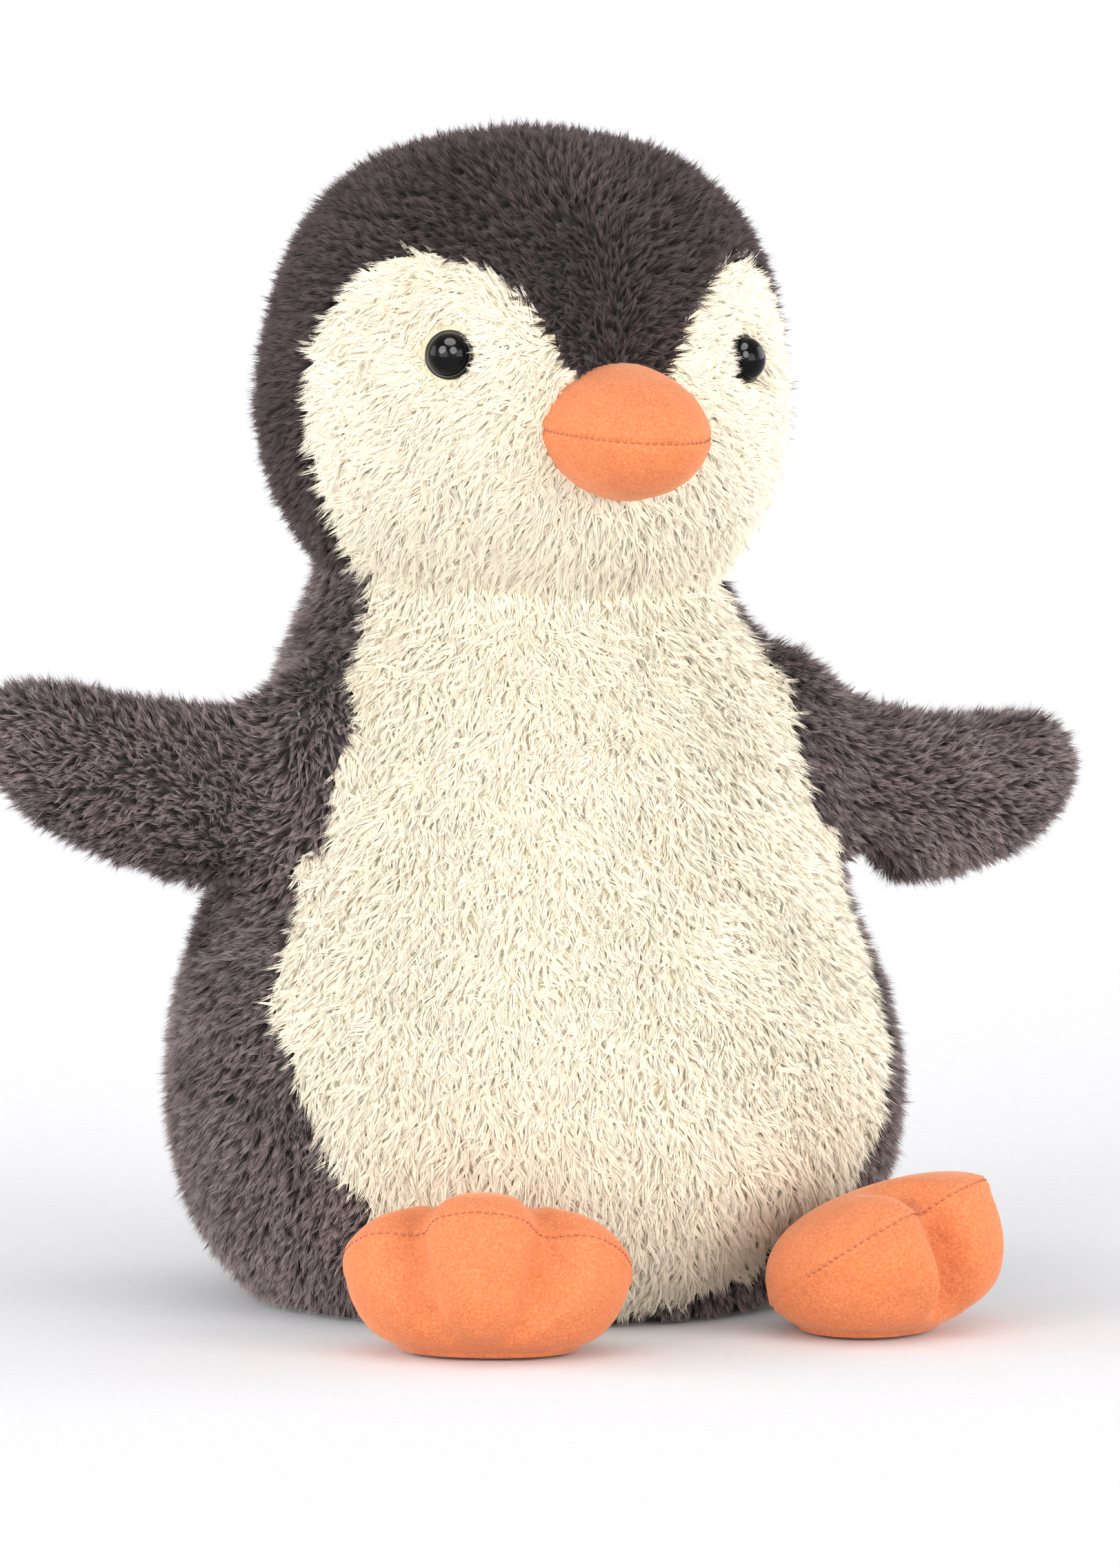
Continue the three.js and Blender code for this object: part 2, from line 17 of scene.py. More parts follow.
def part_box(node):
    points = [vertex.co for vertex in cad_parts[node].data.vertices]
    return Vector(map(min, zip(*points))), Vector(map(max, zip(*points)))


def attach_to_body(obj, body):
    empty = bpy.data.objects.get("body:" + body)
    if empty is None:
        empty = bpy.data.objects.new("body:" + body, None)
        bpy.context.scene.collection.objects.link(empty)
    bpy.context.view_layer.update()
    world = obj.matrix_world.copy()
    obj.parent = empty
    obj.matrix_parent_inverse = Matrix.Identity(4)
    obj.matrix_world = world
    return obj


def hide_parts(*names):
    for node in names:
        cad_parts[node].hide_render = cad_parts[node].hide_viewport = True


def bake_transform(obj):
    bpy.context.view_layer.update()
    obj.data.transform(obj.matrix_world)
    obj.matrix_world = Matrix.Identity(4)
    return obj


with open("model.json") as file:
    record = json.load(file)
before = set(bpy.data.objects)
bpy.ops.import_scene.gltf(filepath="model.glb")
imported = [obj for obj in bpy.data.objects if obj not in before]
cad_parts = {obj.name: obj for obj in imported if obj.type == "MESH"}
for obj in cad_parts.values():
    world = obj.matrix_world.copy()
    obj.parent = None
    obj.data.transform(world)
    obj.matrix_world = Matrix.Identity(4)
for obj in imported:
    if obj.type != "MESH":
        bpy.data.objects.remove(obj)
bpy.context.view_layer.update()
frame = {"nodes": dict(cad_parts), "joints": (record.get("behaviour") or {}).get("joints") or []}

# ---------- driving values ----------

# Fur, and the cloth it grows from.
SEED = 7
PILE_DEPTH = 0.0031
PILE_SHARE_OF_ROOM = 0.3
BACKING_DEPTH = 0.0004
TUFT_AREA = 2.3e-6
TUFT_RADIUS = 0.00085
TUFT_GATHERS = {"cream": 0.4, "dark": 0.7}
TUFT_LEAN_SPREAD = 12
STRANDS_PER_TUFT = 7
STRAND_LEANS = {"cream": 64, "dark": 47}
STRAND_LEAN_SPREAD = 5
STRAND_LENGTH = 0.0056
LENGTH_SPREAD = 0.1
STRAND_WIDTH = 0.0004
STRAND_RIDGE = 0.45
TIP_SCATTER = 0.00022
STRAND_SHADE_SHARE = 0.3
LEAST_HEIGHT = 0.0003
MOST_STRANDS_IN_A_PIECE = 48000

# Combing. Each span is where an effect starts and where it is full.
SWIRL = 0.3
SWIRL_SIZES = {11: 0.04, 12: 0.012}
SWIRL_SPREAD = 0.5
THIN_LENGTH = 0.45
FACE_DOWNWARD = 0.8
FACE_SPAN = (0.02, -0.04)
BACK_COMB = (0.0, 0.7, -0.7)
EYE_COMB = 0.7
EYE_COMB_SPAN = (0.013, 0.0075)
EYE_SHORTENING = 0.4
BEAK_OUTLINE_POWER = 1.75
BEAK_SHORTENING = 0.3
BEAK_SHORT_SPAN = (1.7, 1.0)
WING_COMB = (1.0, 0.0, -0.3)
WING_COMB_SPAN = (0.072, 0.098)
WING_COMB_BOTTOM = 0.1

# Where the cover is bare.
EYE_BARE = 0.007
BEAK_BARE = 0.9
CHIN_OVERLAP = 0.009
NECK_BARE = 0.001
NECK_BARE_MARGIN = 0.004
BASE_BARE = 0.005
BASE_FACING = -0.75

# The stuffed trunk, its shoulders and where its fabrics meet.
SHOULDER_OFFSET = (0.004, 0, 0.002)
SHOULDER_RADII = (0.026, 0.023, 0.039)
TRUNK_SWELL = 0.0008
WING_SWELL = 0.003
WING_SWELL_SPAN = (0.085, 0.11)
WING_SWELL_BOTTOM = 0.08
LOW_SAG = 0.004
LOW_SAG_BOTTOM = (0.015, 0.04)
LOW_SAG_TOP = (0.11, 0.06)
LOW_SAG_SIDE = 0.1
NECK_GAP = 0.002
NECK_SHIFT = 0.0025
NECK_SHIFT_SPAN = (0.15, 0.2)
BASE_HELD = 0.004
BELLY_TO_WING_ANGLES = {"left": 56, "right": 61}
BELLY_SIDE = 0.09
WING_ROOT_SIDE = 0.045
WING_SURE_SIDE = 0.098
WING_UNDERSIDE = 0.104
WING_TOP_MARGIN = 0.006
WING_CLEARANCE = 0.003

# The stuffed head.
HEAD_SHIFT = 0.001
HEAD_SWELL = 0.001
HEAD_CORNER_SWELL = 0.045
HEAD_CORNER_HEIGHTS = (0.2, 0.75)
HEAD_CORNER_SIDES = (0.15, 0.6)
HEAD_LUMPS = 0.008
HEAD_LUMP_SIZE = 0.06
EYE_POCKET_DEPTH = 0.0036
EYE_POCKET_SPAN = (0.012, 0.007)

# Cloth simulation and remeshing.
CLOTH_QUALITY = 3
CLOTH_MASS = 0.15
CLOTH_FRAMES = 16
LEAST_HOLD = 0.02
SKIN_PRESSURE = 4
SUEDE_PRESSURE = 60
TRUNK_PUFF = 0.003
HEAD_PUFF = 0.002
FOOT_PUFF = 0.003
BEAK_PUFF = 0.002
SKIN_VOXEL = 0.005
SUEDE_VOXEL = 0.003
FOOT_VOXEL = 0.0024

# Feet.
FOOT_HALF_WIDTH = 0.041
FOOT_TOE_LENGTH = 0.031
FOOT_HEEL_LENGTH = 0.037
FOOT_TIP_GAP = 0.002
FOOT_UPPER_THICKNESS = {"left": 0.018, "right": 0.017}
FOOT_UPPER_TAPER = {"left": 0.32, "right": 0.0}
FOOT_SOLE_THICKNESS = 0.031
FOOT_TOE_ROUNDNESS = 2.5
FOOT_HEEL_ROUNDNESS = 1.85
FOOT_FULLNESS = 0.9
FOOT_SIDES = 72
FOOT_LAYERS = 33
MIDDLE_TOE_REACH = {"left": 0.13, "right": 0.22}
MIDDLE_TOE_WIDTH = 24
TOE_NOTCH_ANGLE = 37
TOE_NOTCH_WIDTH = 9
TOE_NOTCH_DEPTH = {"left": 0.34, "right": 0.26}
TOE_GROOVE_OFFSET = 0.0185
TOE_GROOVE_WIDTH = 0.0033
TOE_GROOVE_LENGTH = {"left": 0.026, "right": 0.011}
TOE_GROOVE_DEPTH = 0.85
TOE_GROOVE_FADE = 0.7
TOE_GROOVE_NARROWING = 0.2
TOE_PLUMPNESS = 0.15
TOE_SPAN = (0.008, 0.03)
BELLY_GAP = 0.0005
LIFT_STEPS = (0, 8, 16)
BELLY_REACH = 0.04
FLOOR_ROUNDING = 0.003
CONTACT_HEIGHT = 0.0012
LEAST_SOLE_HEIGHT = 0.0002

# Seams and stitches.
SEAM_GAP = 0.00045
STANDING_SEAM = 0.25
SEAM_REACH = 0.08
SEAM_WIDTH = 0.0011
SEAM_DEPTH = 0.0009
SEAM_HOLD = 0.002
BEAK_SEAM_HOLD = 0.0018
BEAK_STITCHED_BEFORE = -0.068
FOOT_SEAM_FROM = -15
FOOT_SEAM_TO = 195
STITCH_PITCH = 0.0021
STITCH_LENGTH = 0.0012
STITCH_RADIUS = 0.00034
STITCH_SIDES = 6
# Each ring of a stitch: its place along the stitch, and its share of the full radius.
STITCH_RINGS = [(-0.5, 0.05), (-0.42, 0.8), (0.0, 1.0), (0.42, 0.8), (0.5, 0.05)]

# Eyes.
EYE_DOME_RADIUS = 0.0061
EYE_DOME_HEIGHT = 0.0052
EYE_RIM_RADIUS = 0.0069
EYE_RIM_THICKNESS = 0.0014
EYE_RIM_BEAD = 0.0005
EYE_RIM_LIFT = 0.0002
EYE_SIDES = 64
EYE_LEAST_RADIUS = 1e-5

# Grains: features per metre, detail, upright stretch, colour spread, roughness, relief.
KNIT = (1400, 2, 0.45, 0.15, 0.95, 0.0004)
TWIST = (5200, 2, 2.5, 0.15, 0.6, 0.00008)
FIBRES = (700, 5, 0.3, 0.2, 1.0, 0.001)
PELLET_PLASTIC = (420, 3, 1, 0.2, 0.45, 0.00005)
WASHER_PLASTIC = (260, 3, 1, 0.2, 0.45, 0.00005)

# Camera, lamps and room.
VIEW_AZIMUTH = -21
VIEW_ELEVATION = 7
VIEW_DISTANCE = 10.0
VIEW_HEIGHT_SHOWN = 0.4373
VIEW_TARGET_RIGHT = 0.009
VIEW_TARGET_UP = 0.142
# Each lamp: azimuth, elevation and spread in degrees, strength, and whether it only glints.
SOFTBOXES = {
    "softbox_left": (-55, 12, 40, 1.9, False),
    "softbox_right": (28, 10, 40, 2.2, False),
    "softbox_top": (-24, 65, 50, 0.3, False),
    "rim_left": (-118, 12, 40, 1.6, False),
    "rim_right": (95, 12, 40, 1.2, False),
    "glint_left": (-66, 30, 34, 6.2, True),
    "glint_right": (-6, 30, 34, 6.2, True),
    "glint_top": (-26, 76, 45, 8.3, True),
}
HORIZON_TOP = 0.12
OVERHEAD_BOTTOM = 0.5
HORIZON_STRENGTH = 1.85
OVERHEAD_STRENGTH = 0.62
FLOOR_HALF = 40.0

# General.
SIDES = {"left": 1, "right": -1}
TINY = 1e-9
RAY_START = 1e-4
RAY_REACH = 0.1

rng = np.random.default_rng(SEED)

# ---------- places from the frame ----------


def corners_of(*nodes):
    """Lowest and highest corner of the box round some CAD nodes."""
    boxes = [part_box(node) for node in nodes]
    low = Vector([min(box[0][i] for box in boxes) for i in range(3)])
    high = Vector([max(box[1][i] for box in boxes) for i in range(3)])
    return low, high


def cad_mesh(node):
    """The mesh of a CAD node."""
    return frame["nodes"][node].data


def middle(*nodes):
    """The middle of the box round some CAD nodes."""
    low, high = corners_of(*nodes)
    return (low + high) / 2


def joint_point(name):
    """A joint's place in the frame."""
    return Vector(next(joint for joint in frame["joints"] if joint["name"] == name)["pos_m"])


HEAD_LOW, HEAD_HIGH = corners_of("head_side_left", "head_side_right")
HEAD_RADIUS = (HEAD_HIGH.x - HEAD_LOW.x) / 2
HEAD_CENTRE = Vector((0, 0, HEAD_HIGH.z - HEAD_RADIUS))
NECK_RIM = HEAD_LOW.z
NECK_PIVOT = joint_point("neck_nod")
NECK_RADIUS = NECK_PIVOT.z - corners_of("head_stuffing")[0].z
EYE_AXES = {side: (middle(f"eye_washer_{side}") - HEAD_CENTRE).normalized() for side in SIDES}

# ---------- numbers and vectors ----------


def unit(vectors):
    """The vectors at unit length."""
    length = np.linalg.norm(vectors, axis=-1, keepdims=True)
    return vectors / np.maximum(length, TINY)


def waves(points, scale, seed, count=7):
    """Smooth random values, about -1 to 1, that change over a distance of about scale."""
    local = np.random.default_rng(seed)
    directions = unit(local.normal(size=(count, 3)))
    phases = local.uniform(0, 2 * math.pi, count)
    return np.sin(points @ directions.T * (2 * math.pi / scale) + phases).sum(1) / count**0.5


def smoothstep(low, high, values):
    """0 up to low and 1 from high on, with a smooth rise between. It falls if low is more."""
    t = np.clip((values - low) / (high - low), 0, 1)
    return t * t * (3 - 2 * t)


def direction(azimuth, elevation):
    """The way from the object towards an azimuth and elevation in degrees."""
    turn, rise = math.radians(azimuth), math.radians(elevation)
    level = math.cos(rise)
    return Vector((math.sin(turn) * level, -math.cos(turn) * level, math.sin(rise)))


def along_surface(vectors, normals):
    """The part of each vector that lies in the surface, at unit length."""
    return unit(vectors - normals * (vectors * normals).sum(1, keepdims=True))


# ---------- meshes ----------


def add_object(name, mesh):
    """A new object in the scene that holds some mesh or other data."""
    piece = bpy.data.objects.new(name, mesh)
    bpy.context.scene.collection.objects.link(piece)
    return piece


def add_mesh(name, points, faces, material, smooth=True, values=None):
    """A mesh object from arrays of points and of triangles or quads."""
    mesh = bpy.data.meshes.new(name)
    mesh.vertices.add(len(points))
    mesh.vertices.foreach_set("co", np.asarray(points, np.float32).ravel())
    mesh.loops.add(faces.size)
    mesh.loops.foreach_set("vertex_index", np.asarray(faces, np.int32).ravel())
    mesh.polygons.add(len(faces))
    starts = np.arange(0, faces.size, faces.shape[1], dtype=np.int32)
    mesh.polygons.foreach_set("loop_start", starts)
    mesh.update(calc_edges=True)
    mesh.polygons.foreach_set("use_smooth", np.full(len(faces), smooth))
    for key, value in (values or {}).items():
        layer = mesh.attributes.new(key, "FLOAT", "POINT")
        layer.data.foreach_set("value", np.asarray(value, np.float32))
    mesh.materials.append(material)
    return add_object(name, mesh)


def mesh_arrays(mesh):
    """Points, triangles and point normals of a mesh."""
    mesh.calc_loop_triangles()
    points = np.empty(len(mesh.vertices) * 3, np.float32)
    normals = np.empty(len(mesh.vertices) * 3, np.float32)
    corners = np.empty(len(mesh.loop_triangles) * 3, np.int32)
    mesh.vertices.foreach_get("co", points)
    mesh.vertex_normals.foreach_get("vector", normals)
    mesh.loop_triangles.foreach_get("vertices", corners)
    return points.reshape(-1, 3).astype(float), corners.reshape(-1, 3), normals.reshape(-1, 3)


def set_points(mesh, points):
    """Moves a mesh's points."""
    mesh.vertices.foreach_set("co", np.asarray(points, np.float32).ravel())
    mesh.update()


def ball_mesh(centre, radii, level):
    """A fine ball mesh, scaled to three radii."""
    form = bmesh.new()
    size = Matrix.LocRotScale(Vector(centre), None, Vector(radii))
    bmesh.ops.create_icosphere(form, subdivisions=level, radius=1, matrix=size)
    mesh = bpy.data.meshes.new("ball")
    form.to_mesh(mesh)
    form.free()
    return mesh


def with_modifiers(mesh, *steps):
    """The mesh after some modifiers, each given as its kind and its settings."""
    holder = add_object("holder", mesh)
    for kind, settings in steps:
        modifier = holder.modifiers.new(kind.lower(), kind)
        for key, value in settings.items():
            setattr(modifier, key, value)
    bpy.context.view_layer.update()
    evaluated = holder.evaluated_get(bpy.context.evaluated_depsgraph_get())
    result = bpy.data.meshes.new_from_object(evaluated)
    bpy.data.objects.remove(holder)
    return result


def fused(meshes, voxel, smoothing):
    """The closed surface round some overlapping meshes, remeshed and smoothed."""
    form = bmesh.new()
    for mesh in meshes:
        form.from_mesh(mesh)
    joined = bpy.data.meshes.new("joined")
    form.to_mesh(joined)
    form.free()
    mesh = with_modifiers(
        joined,
        ("REMESH", {"mode": "VOXEL", "voxel_size": voxel}),
        ("SMOOTH", {"iterations": smoothing, "factor": 0.5}),
    )
    keep_largest(mesh)
    return mesh


def keep_largest(mesh):
    """Deletes every loose part of a mesh but the one with the most points."""
    form = bmesh.new()
    form.from_mesh(mesh)
    unseen = set(form.verts)
    parts = []
    while unseen:
        part = {unseen.pop()}
        front = list(part)
        while front:
            near = {edge.other_vert(vert) for vert in front for edge in vert.link_edges} & unseen
            unseen -= near
            part |= near
            front = list(near)
        parts.append(part)
    parts.sort(key=len)
    for part in parts[:-1]:
        bmesh.ops.delete(form, geom=list(part), context="VERTS")
    form.to_mesh(mesh)
    form.free()


def subdivided(mesh, levels):
    """The mesh with each face split and smoothed, once for each level."""
    return with_modifiers(mesh, ("SUBSURF", {"levels": levels, "render_levels": levels}))


def puffed(mesh, cap, pressure, held):
    """A closed skin blown up by cloth simulation.

    It starts drawn in by half the cap, and no point ends more than the cap from there. Held
    is 1 where a seam holds the cloth, and 0 where it is free.
    """
    points, _, normals = mesh_arrays(mesh)
    start = points - normals * (cap / 2 * (1 - held))[:, None]
    set_points(mesh, start)
    holder = add_object("cloth", mesh)
    group = holder.vertex_groups.new(name="held")
    for index in np.flatnonzero(held > LEAST_HOLD):
        group.add([int(index)], float(held[index]), "REPLACE")
    cloth = holder.modifiers.new("cloth", "CLOTH")
    cloth.settings.quality = CLOTH_QUALITY
    cloth.settings.mass = CLOTH_MASS
    cloth.settings.use_pressure = True
    cloth.settings.uniform_pressure_force = pressure
    cloth.settings.effector_weights.gravity = 0
    cloth.settings.vertex_group_mass = "held"
    cloth.point_cache.frame_start = 1
    cloth.point_cache.frame_end = CLOTH_FRAMES
    for number in range(1, CLOTH_FRAMES + 1):
        bpy.context.scene.frame_set(number)
    evaluated = holder.evaluated_get(bpy.context.evaluated_depsgraph_get())
    swollen = mesh_arrays(bpy.data.meshes.new_from_object(evaluated))[0]
    bpy.data.objects.remove(holder)
    bpy.context.scene.frame_set(1)
    move = swollen - start
    size = np.linalg.norm(move, axis=1, keepdims=True)
    set_points(mesh, start + move * np.minimum(1, cap / np.maximum(size, TINY)))
    return mesh


def tree_of(mesh):
    """A tree that finds a mesh's nearest face and where rays hit it."""
    points, corners, _ = mesh_arrays(mesh)
    return BVHTree.FromPolygons(points.tolist(), corners.tolist())


# ---------- materials ----------


class Nodes:
    """A material's node tree, with short calls to add and join nodes."""

    def __init__(self, name):
        self.material = bpy.data.materials.new(name)
        self.material.use_nodes = True
        self.tree = self.material.node_tree
        self.shader = self.tree.nodes["Principled BSDF"]

    def add(self, kind, **settings):
        """A new node with some settings."""
        node = self.tree.nodes.new(kind)
        for key, value in settings.items():
            setattr(node, key, value)
        return node

    def join(self, source, target):
        """A link from an output to an input."""
        self.tree.links.new(source, target)

    def noise(self, scale, detail=2.0, stretch=(1, 1, 1)):
        """A noise value from 0 to 1. Scale is in features per metre."""
        place = self.add("ShaderNodeTexCoord").outputs["Object"]
        mapping = self.add("ShaderNodeMapping")
        mapping.inputs["Scale"].default_value = stretch
        self.join(place, mapping.inputs["Vector"])
        node = self.add("ShaderNodeTexNoise")
        node.inputs["Scale"].default_value = scale
        node.inputs["Detail"].default_value = detail
        self.join(mapping.outputs["Vector"], node.inputs["Vector"])
        return node.outputs["Fac"]

    def attribute(self, name):
        """A value stored on the mesh's points."""
        return self.add("ShaderNodeAttribute", attribute_name=name).outputs["Fac"]

    def ramp(self, value, stops):
        """Colours along a value from 0 to 1: stops are (position, written colour)."""
        node = self.add("ShaderNodeValToRGB")
        elements = node.color_ramp.elements
        while len(elements) < len(stops):
            elements.new(0.5)
        for element, (position, colour) in zip(elements, stops):
            element.position = position
            element.color = (*linear(colour), 1)
        self.join(value, node.inputs["Fac"])
        return node.outputs["Color"]

    def math(self, operation, first, second):
        """The result of an operation on two values, each a number or an output."""
        node = self.add("ShaderNodeMath", operation=operation)
        for value, socket in zip((first, second), node.inputs):
            if isinstance(value, (int, float)):
                socket.default_value = value
            else:
                self.join(value, socket)
        return node.outputs["Value"]

    def brightened(self, colour, amount):
        """The colour times an amount that varies round 1."""
        node = self.add("ShaderNodeVectorMath", operation="SCALE")
        self.join(colour, node.inputs[0])
        self.join(amount, node.inputs["Scale"])
        return node.outputs["Vector"]

    def bump(self, height, distance, strength=1.0):
        """Fine relief: the height, from 0 to 1, stands for up to a distance in metres."""
        node = self.add("ShaderNodeBump")
        node.inputs["Distance"].default_value = distance
        node.inputs["Strength"].default_value = strength
        self.join(height, node.inputs["Height"])
        self.join(node.outputs["Normal"], self.shader.inputs["Normal"])

    def colour(self, source):
        """Sets the shader's base colour."""
        self.join(source, self.shader.inputs["Base Color"])

    def set(self, **values):
        """Sets constants on the shader's own sockets, by their names."""
        for key, value in values.items():
            title = key.replace("_", " ").title().replace("Ior", "IOR")
            self.shader.inputs[title].default_value = value


def linear(written):
    """A linear colour from a written sRGB one."""
    parts = [int(written[i : i + 2], 16) / 255 for i in (1, 3, 5)]
    return tuple(c / 12.92 if c < 0.04045 else ((c + 0.055) / 1.055) ** 2.4 for c in parts)


def fur_material(name, root, body, tip, variation):
    """Strands that lighten from root to tip, each tuft a little different. The darker roots are
    partly the fibres' own colour and partly painted shade from deep in the pile.
    """
    nodes = Nodes(name)
    colour = nodes.ramp(nodes.attribute("along"), [(0.0, root), (0.5, body), (1.0, tip)])
    tuft = nodes.math("MULTIPLY", nodes.attribute("shade"), variation)
    patch = nodes.math("MULTIPLY", nodes.noise(45, 3), variation)
    amount = nodes.math("ADD", nodes.math("ADD", tuft, patch), 1 - variation)
    nodes.colour(nodes.brightened(colour, amount))
    nodes.set(roughness=0.85, specular_ior_level=0.06, sheen_weight=0.12, sheen_roughness=0.5)
    return nodes.material


def grained_material(name, deep, light, grain):
    """A plain material whose one grain drives both its colour and its relief."""
    scale, detail, stretch, spread, roughness, relief = grain
    nodes = Nodes(name)
    marks = nodes.noise(scale, detail, (1, 1, stretch))
    nodes.colour(nodes.ramp(marks, [(0.5 - spread, deep), (0.5 + spread, light)]))
    nodes.set(roughness=roughness)
    nodes.bump(marks, relief)
    return nodes.material


def suede_material():
    """Short-napped suede: fine mottled grain, with slow patches where the nap lies down."""
    nodes = Nodes("orange_suede")
    nap = nodes.noise(1300, 5)
    grain = nodes.ramp(nap, [(0.32, "#be6a40"), (0.5, "#ca7449"), (0.68, "#d68256")])
    patch = nodes.math("MULTIPLY", nodes.noise(170, 4), 0.3)
    nodes.colour(nodes.brightened(grain, nodes.math("ADD", patch, 0.85)))
    nodes.set(roughness=0.9, specular_ior_level=0.08, sheen_weight=0.3, sheen_roughness=0.45)
    nodes.shader.inputs["Sheen Tint"].default_value = (*linear("#ffd2b0"), 1)
    nodes.bump(nap, 0.00018, 0.6)
    return nodes.material


def eye_material():
    """Glossy black moulded plastic with faint handling marks."""
    nodes = Nodes("eye_plastic")
    marks = nodes.noise(900, 3)
    nodes.colour(nodes.ramp(nodes.noise(160, 2), [(0.3, "#060607"), (0.7, "#0e0e10")]))
    nodes.set(roughness=0.05, specular_ior_level=0.12)
    nodes.bump(marks, 0.000012, 0.35)
    return nodes.material


# The fur colours darken towards the roots, partly as painted shade from deep in the pile.
DARK_FUR = fur_material("dark_fur", "#1e1717", "#584b4a", "#ad9d9b", 0.75)
# A darker copy of the dark fur for the head: painted shade, for the head being lit less than the
# body.
SHADED_HEAD_FUR = fur_material("head_fur_painted_shade", "#150f0f", "#372d2d", "#6c5e5c", 0.75)
CREAM_FUR = fur_material("cream_fur", "#fbeccd", "#fcf0d7", "#fef5e0", 0.05)
DARK_KNIT = grained_material("dark_knit", "#241e1f", "#3a3233", KNIT)
CREAM_KNIT = grained_material("cream_knit", "#ead9b2", "#f5e9ca", KNIT)
SUEDE = suede_material()
THREAD = grained_material("orange_thread", "#8e3f15", "#b05a28", TWIST)
EYE_PLASTIC = eye_material()

# ---------- camera, light and floor ----------


def add_camera():
    """A far camera with a long lens, at the photograph's viewing angle."""
    back = direction(VIEW_AZIMUTH, VIEW_ELEVATION)
    right = direction(VIEW_AZIMUTH + 90, 0)
    target = right * VIEW_TARGET_RIGHT + back.cross(right) * VIEW_TARGET_UP
    data = bpy.data.cameras.new("camera")
    data.lens = data.sensor_width * VIEW_DISTANCE / VIEW_HEIGHT_SHOWN
    camera = add_object("camera", data)
    camera.location = target + back * VIEW_DISTANCE
    camera.rotation_euler = back.to_track_quat("Z", "Y").to_euler()
    bpy.context.scene.camera = camera


def add_softbox(name, azimuth, elevation, spread, strength, only_glints):
    """A large far lamp: its direction and spread in degrees, seen from the object."""
    data = bpy.data.lights.new(name, "SUN")
    data.angle = math.radians(spread)
    data.energy = strength
    light = add_object(name, data)
    to_lamp = direction(azimuth, elevation)
    light.location = to_lamp * 2
    light.rotation_euler = to_lamp.to_track_quat("Z", "Y").to_euler()
    light.visible_diffuse = not only_glints


def add_world():
    """A white room: bright all round the horizon, dimmer overhead."""
    world = bpy.data.worlds.new("studio")
    world.use_nodes = True
    nodes, links = world.node_tree.nodes, world.node_tree.links
    place = nodes.new("ShaderNodeTexCoord")
    parts = nodes.new("ShaderNodeSeparateXYZ")
    fade = nodes.new("ShaderNodeMapRange")
    heights, strengths = (HORIZON_TOP, OVERHEAD_BOTTOM), (HORIZON_STRENGTH, OVERHEAD_STRENGTH)
    for end, height, strength in zip(("Min", "Max"), heights, strengths):
        fade.inputs[f"From {end}"].default_value = height
        fade.inputs[f"To {end}"].default_value = strength
    links.new(place.outputs["Generated"], parts.inputs["Vector"])
    links.new(parts.outputs["Z"], fade.inputs["Value"])
    links.new(fade.outputs["Result"], nodes["Background"].inputs["Strength"])
    nodes["Background"].inputs["Color"].default_value = (1, 1, 1, 1)
    bpy.context.scene.world = world


def add_studio():
    """A pale room, its lamps and a wide pale floor."""
    bpy.context.scene.view_settings.view_transform = "Standard"
    add_world()
    for name, settings in SOFTBOXES.items():
        add_softbox(name, *settings)
    corners = FLOOR_HALF * np.array([[-1, -1, 0], [1, -1, 0], [1, 1, 0], [-1, 1, 0]])
    nodes = Nodes("floor_paper")
    nodes.colour(nodes.ramp(nodes.noise(300, 2), [(0.3, "#dfdfe2"), (0.7, "#e3e3e6")]))
    nodes.set(roughness=0.95, specular_ior_level=0.1)
    add_mesh("floor", corners, np.array([[0, 1, 2, 3]]), nodes.material)


add_camera()
add_studio()

# ---------- the stuffed skins that carry the fur ----------


def eye_gaps(place):
    """Distance from each point to the nearer eye's axis, and the direction away from it."""
    away = []
    for axis in EYE_AXES.values():
        offset = place - np.array(HEAD_CENTRE)
        along = np.maximum(offset @ np.array(axis), 0)
        away.append(offset - along[:, None] * np.array(axis))
    gaps = [np.linalg.norm(vectors, axis=1) for vectors in away]
    nearer = (gaps[0] < gaps[1])[:, None]
    return np.minimum(gaps[0], gaps[1]), unit(np.where(nearer, away[0], away[1]))


TORSO_PANELS = ["belly_panel", "body_side_left", "body_side_right"]
WING_PANELS = [f"wing_{side}_{part}" for side in SIDES for part in ("front", "back")]
HEAD_PANELS = ["head_side_left", "head_side_right", "face_left", "face_right"]


def trunk_skin():
    """Torso and wings as one stuffed surface, with a full shoulder at each wing's root."""
    inside = ["base_panel", "body_stuffing", "bean_pouch", "bean_fill"]
    inside += [f"wing_{side}_stuffing" for side in SIDES]
    names = TORSO_PANELS + WING_PANELS + inside
    meshes = [cad_mesh(name) for name in names]
    for side, sign in SIDES.items():
        pivot = joint_point(f"wing_{side}_flap")
        outward, ahead, up = SHOULDER_OFFSET
        shoulder = pivot + Vector((sign * outward, ahead, up))
        meshes.append(ball_mesh(shoulder, SHOULDER_RADII, 4))
    meshes.append(ball_mesh(NECK_PIVOT, (NECK_RADIUS - NECK_GAP,) * 3, 4))
    mesh = fused(meshes, SKIN_VOXEL, 4)
    points, _, normals = mesh_arrays(mesh)
    height = points[:, 2]
    wing = smoothstep(*WING_SWELL_SPAN, np.abs(points[:, 0])) * (height > WING_SWELL_BOTTOM)
    low = smoothstep(*LOW_SAG_BOTTOM, height) * smoothstep(*LOW_SAG_TOP, height)
    sag = LOW_SAG * low * np.clip(points[:, 0] / LOW_SAG_SIDE, 0, 1)
    points += normals * (TRUNK_SWELL + WING_SWELL * wing + sag)[:, None]
    points[:, 0] -= NECK_SHIFT * smoothstep(*NECK_SHIFT_SPAN, points[:, 2])
    points[:, 2] = np.maximum(points[:, 2], 0)
    set_points(mesh, points)
    held = (points[:, 2] > NECK_RIM) | (points[:, 2] < BASE_HELD)
    return subdivided(puffed(mesh, TRUNK_PUFF, SKIN_PRESSURE, held.astype(float)), 1)


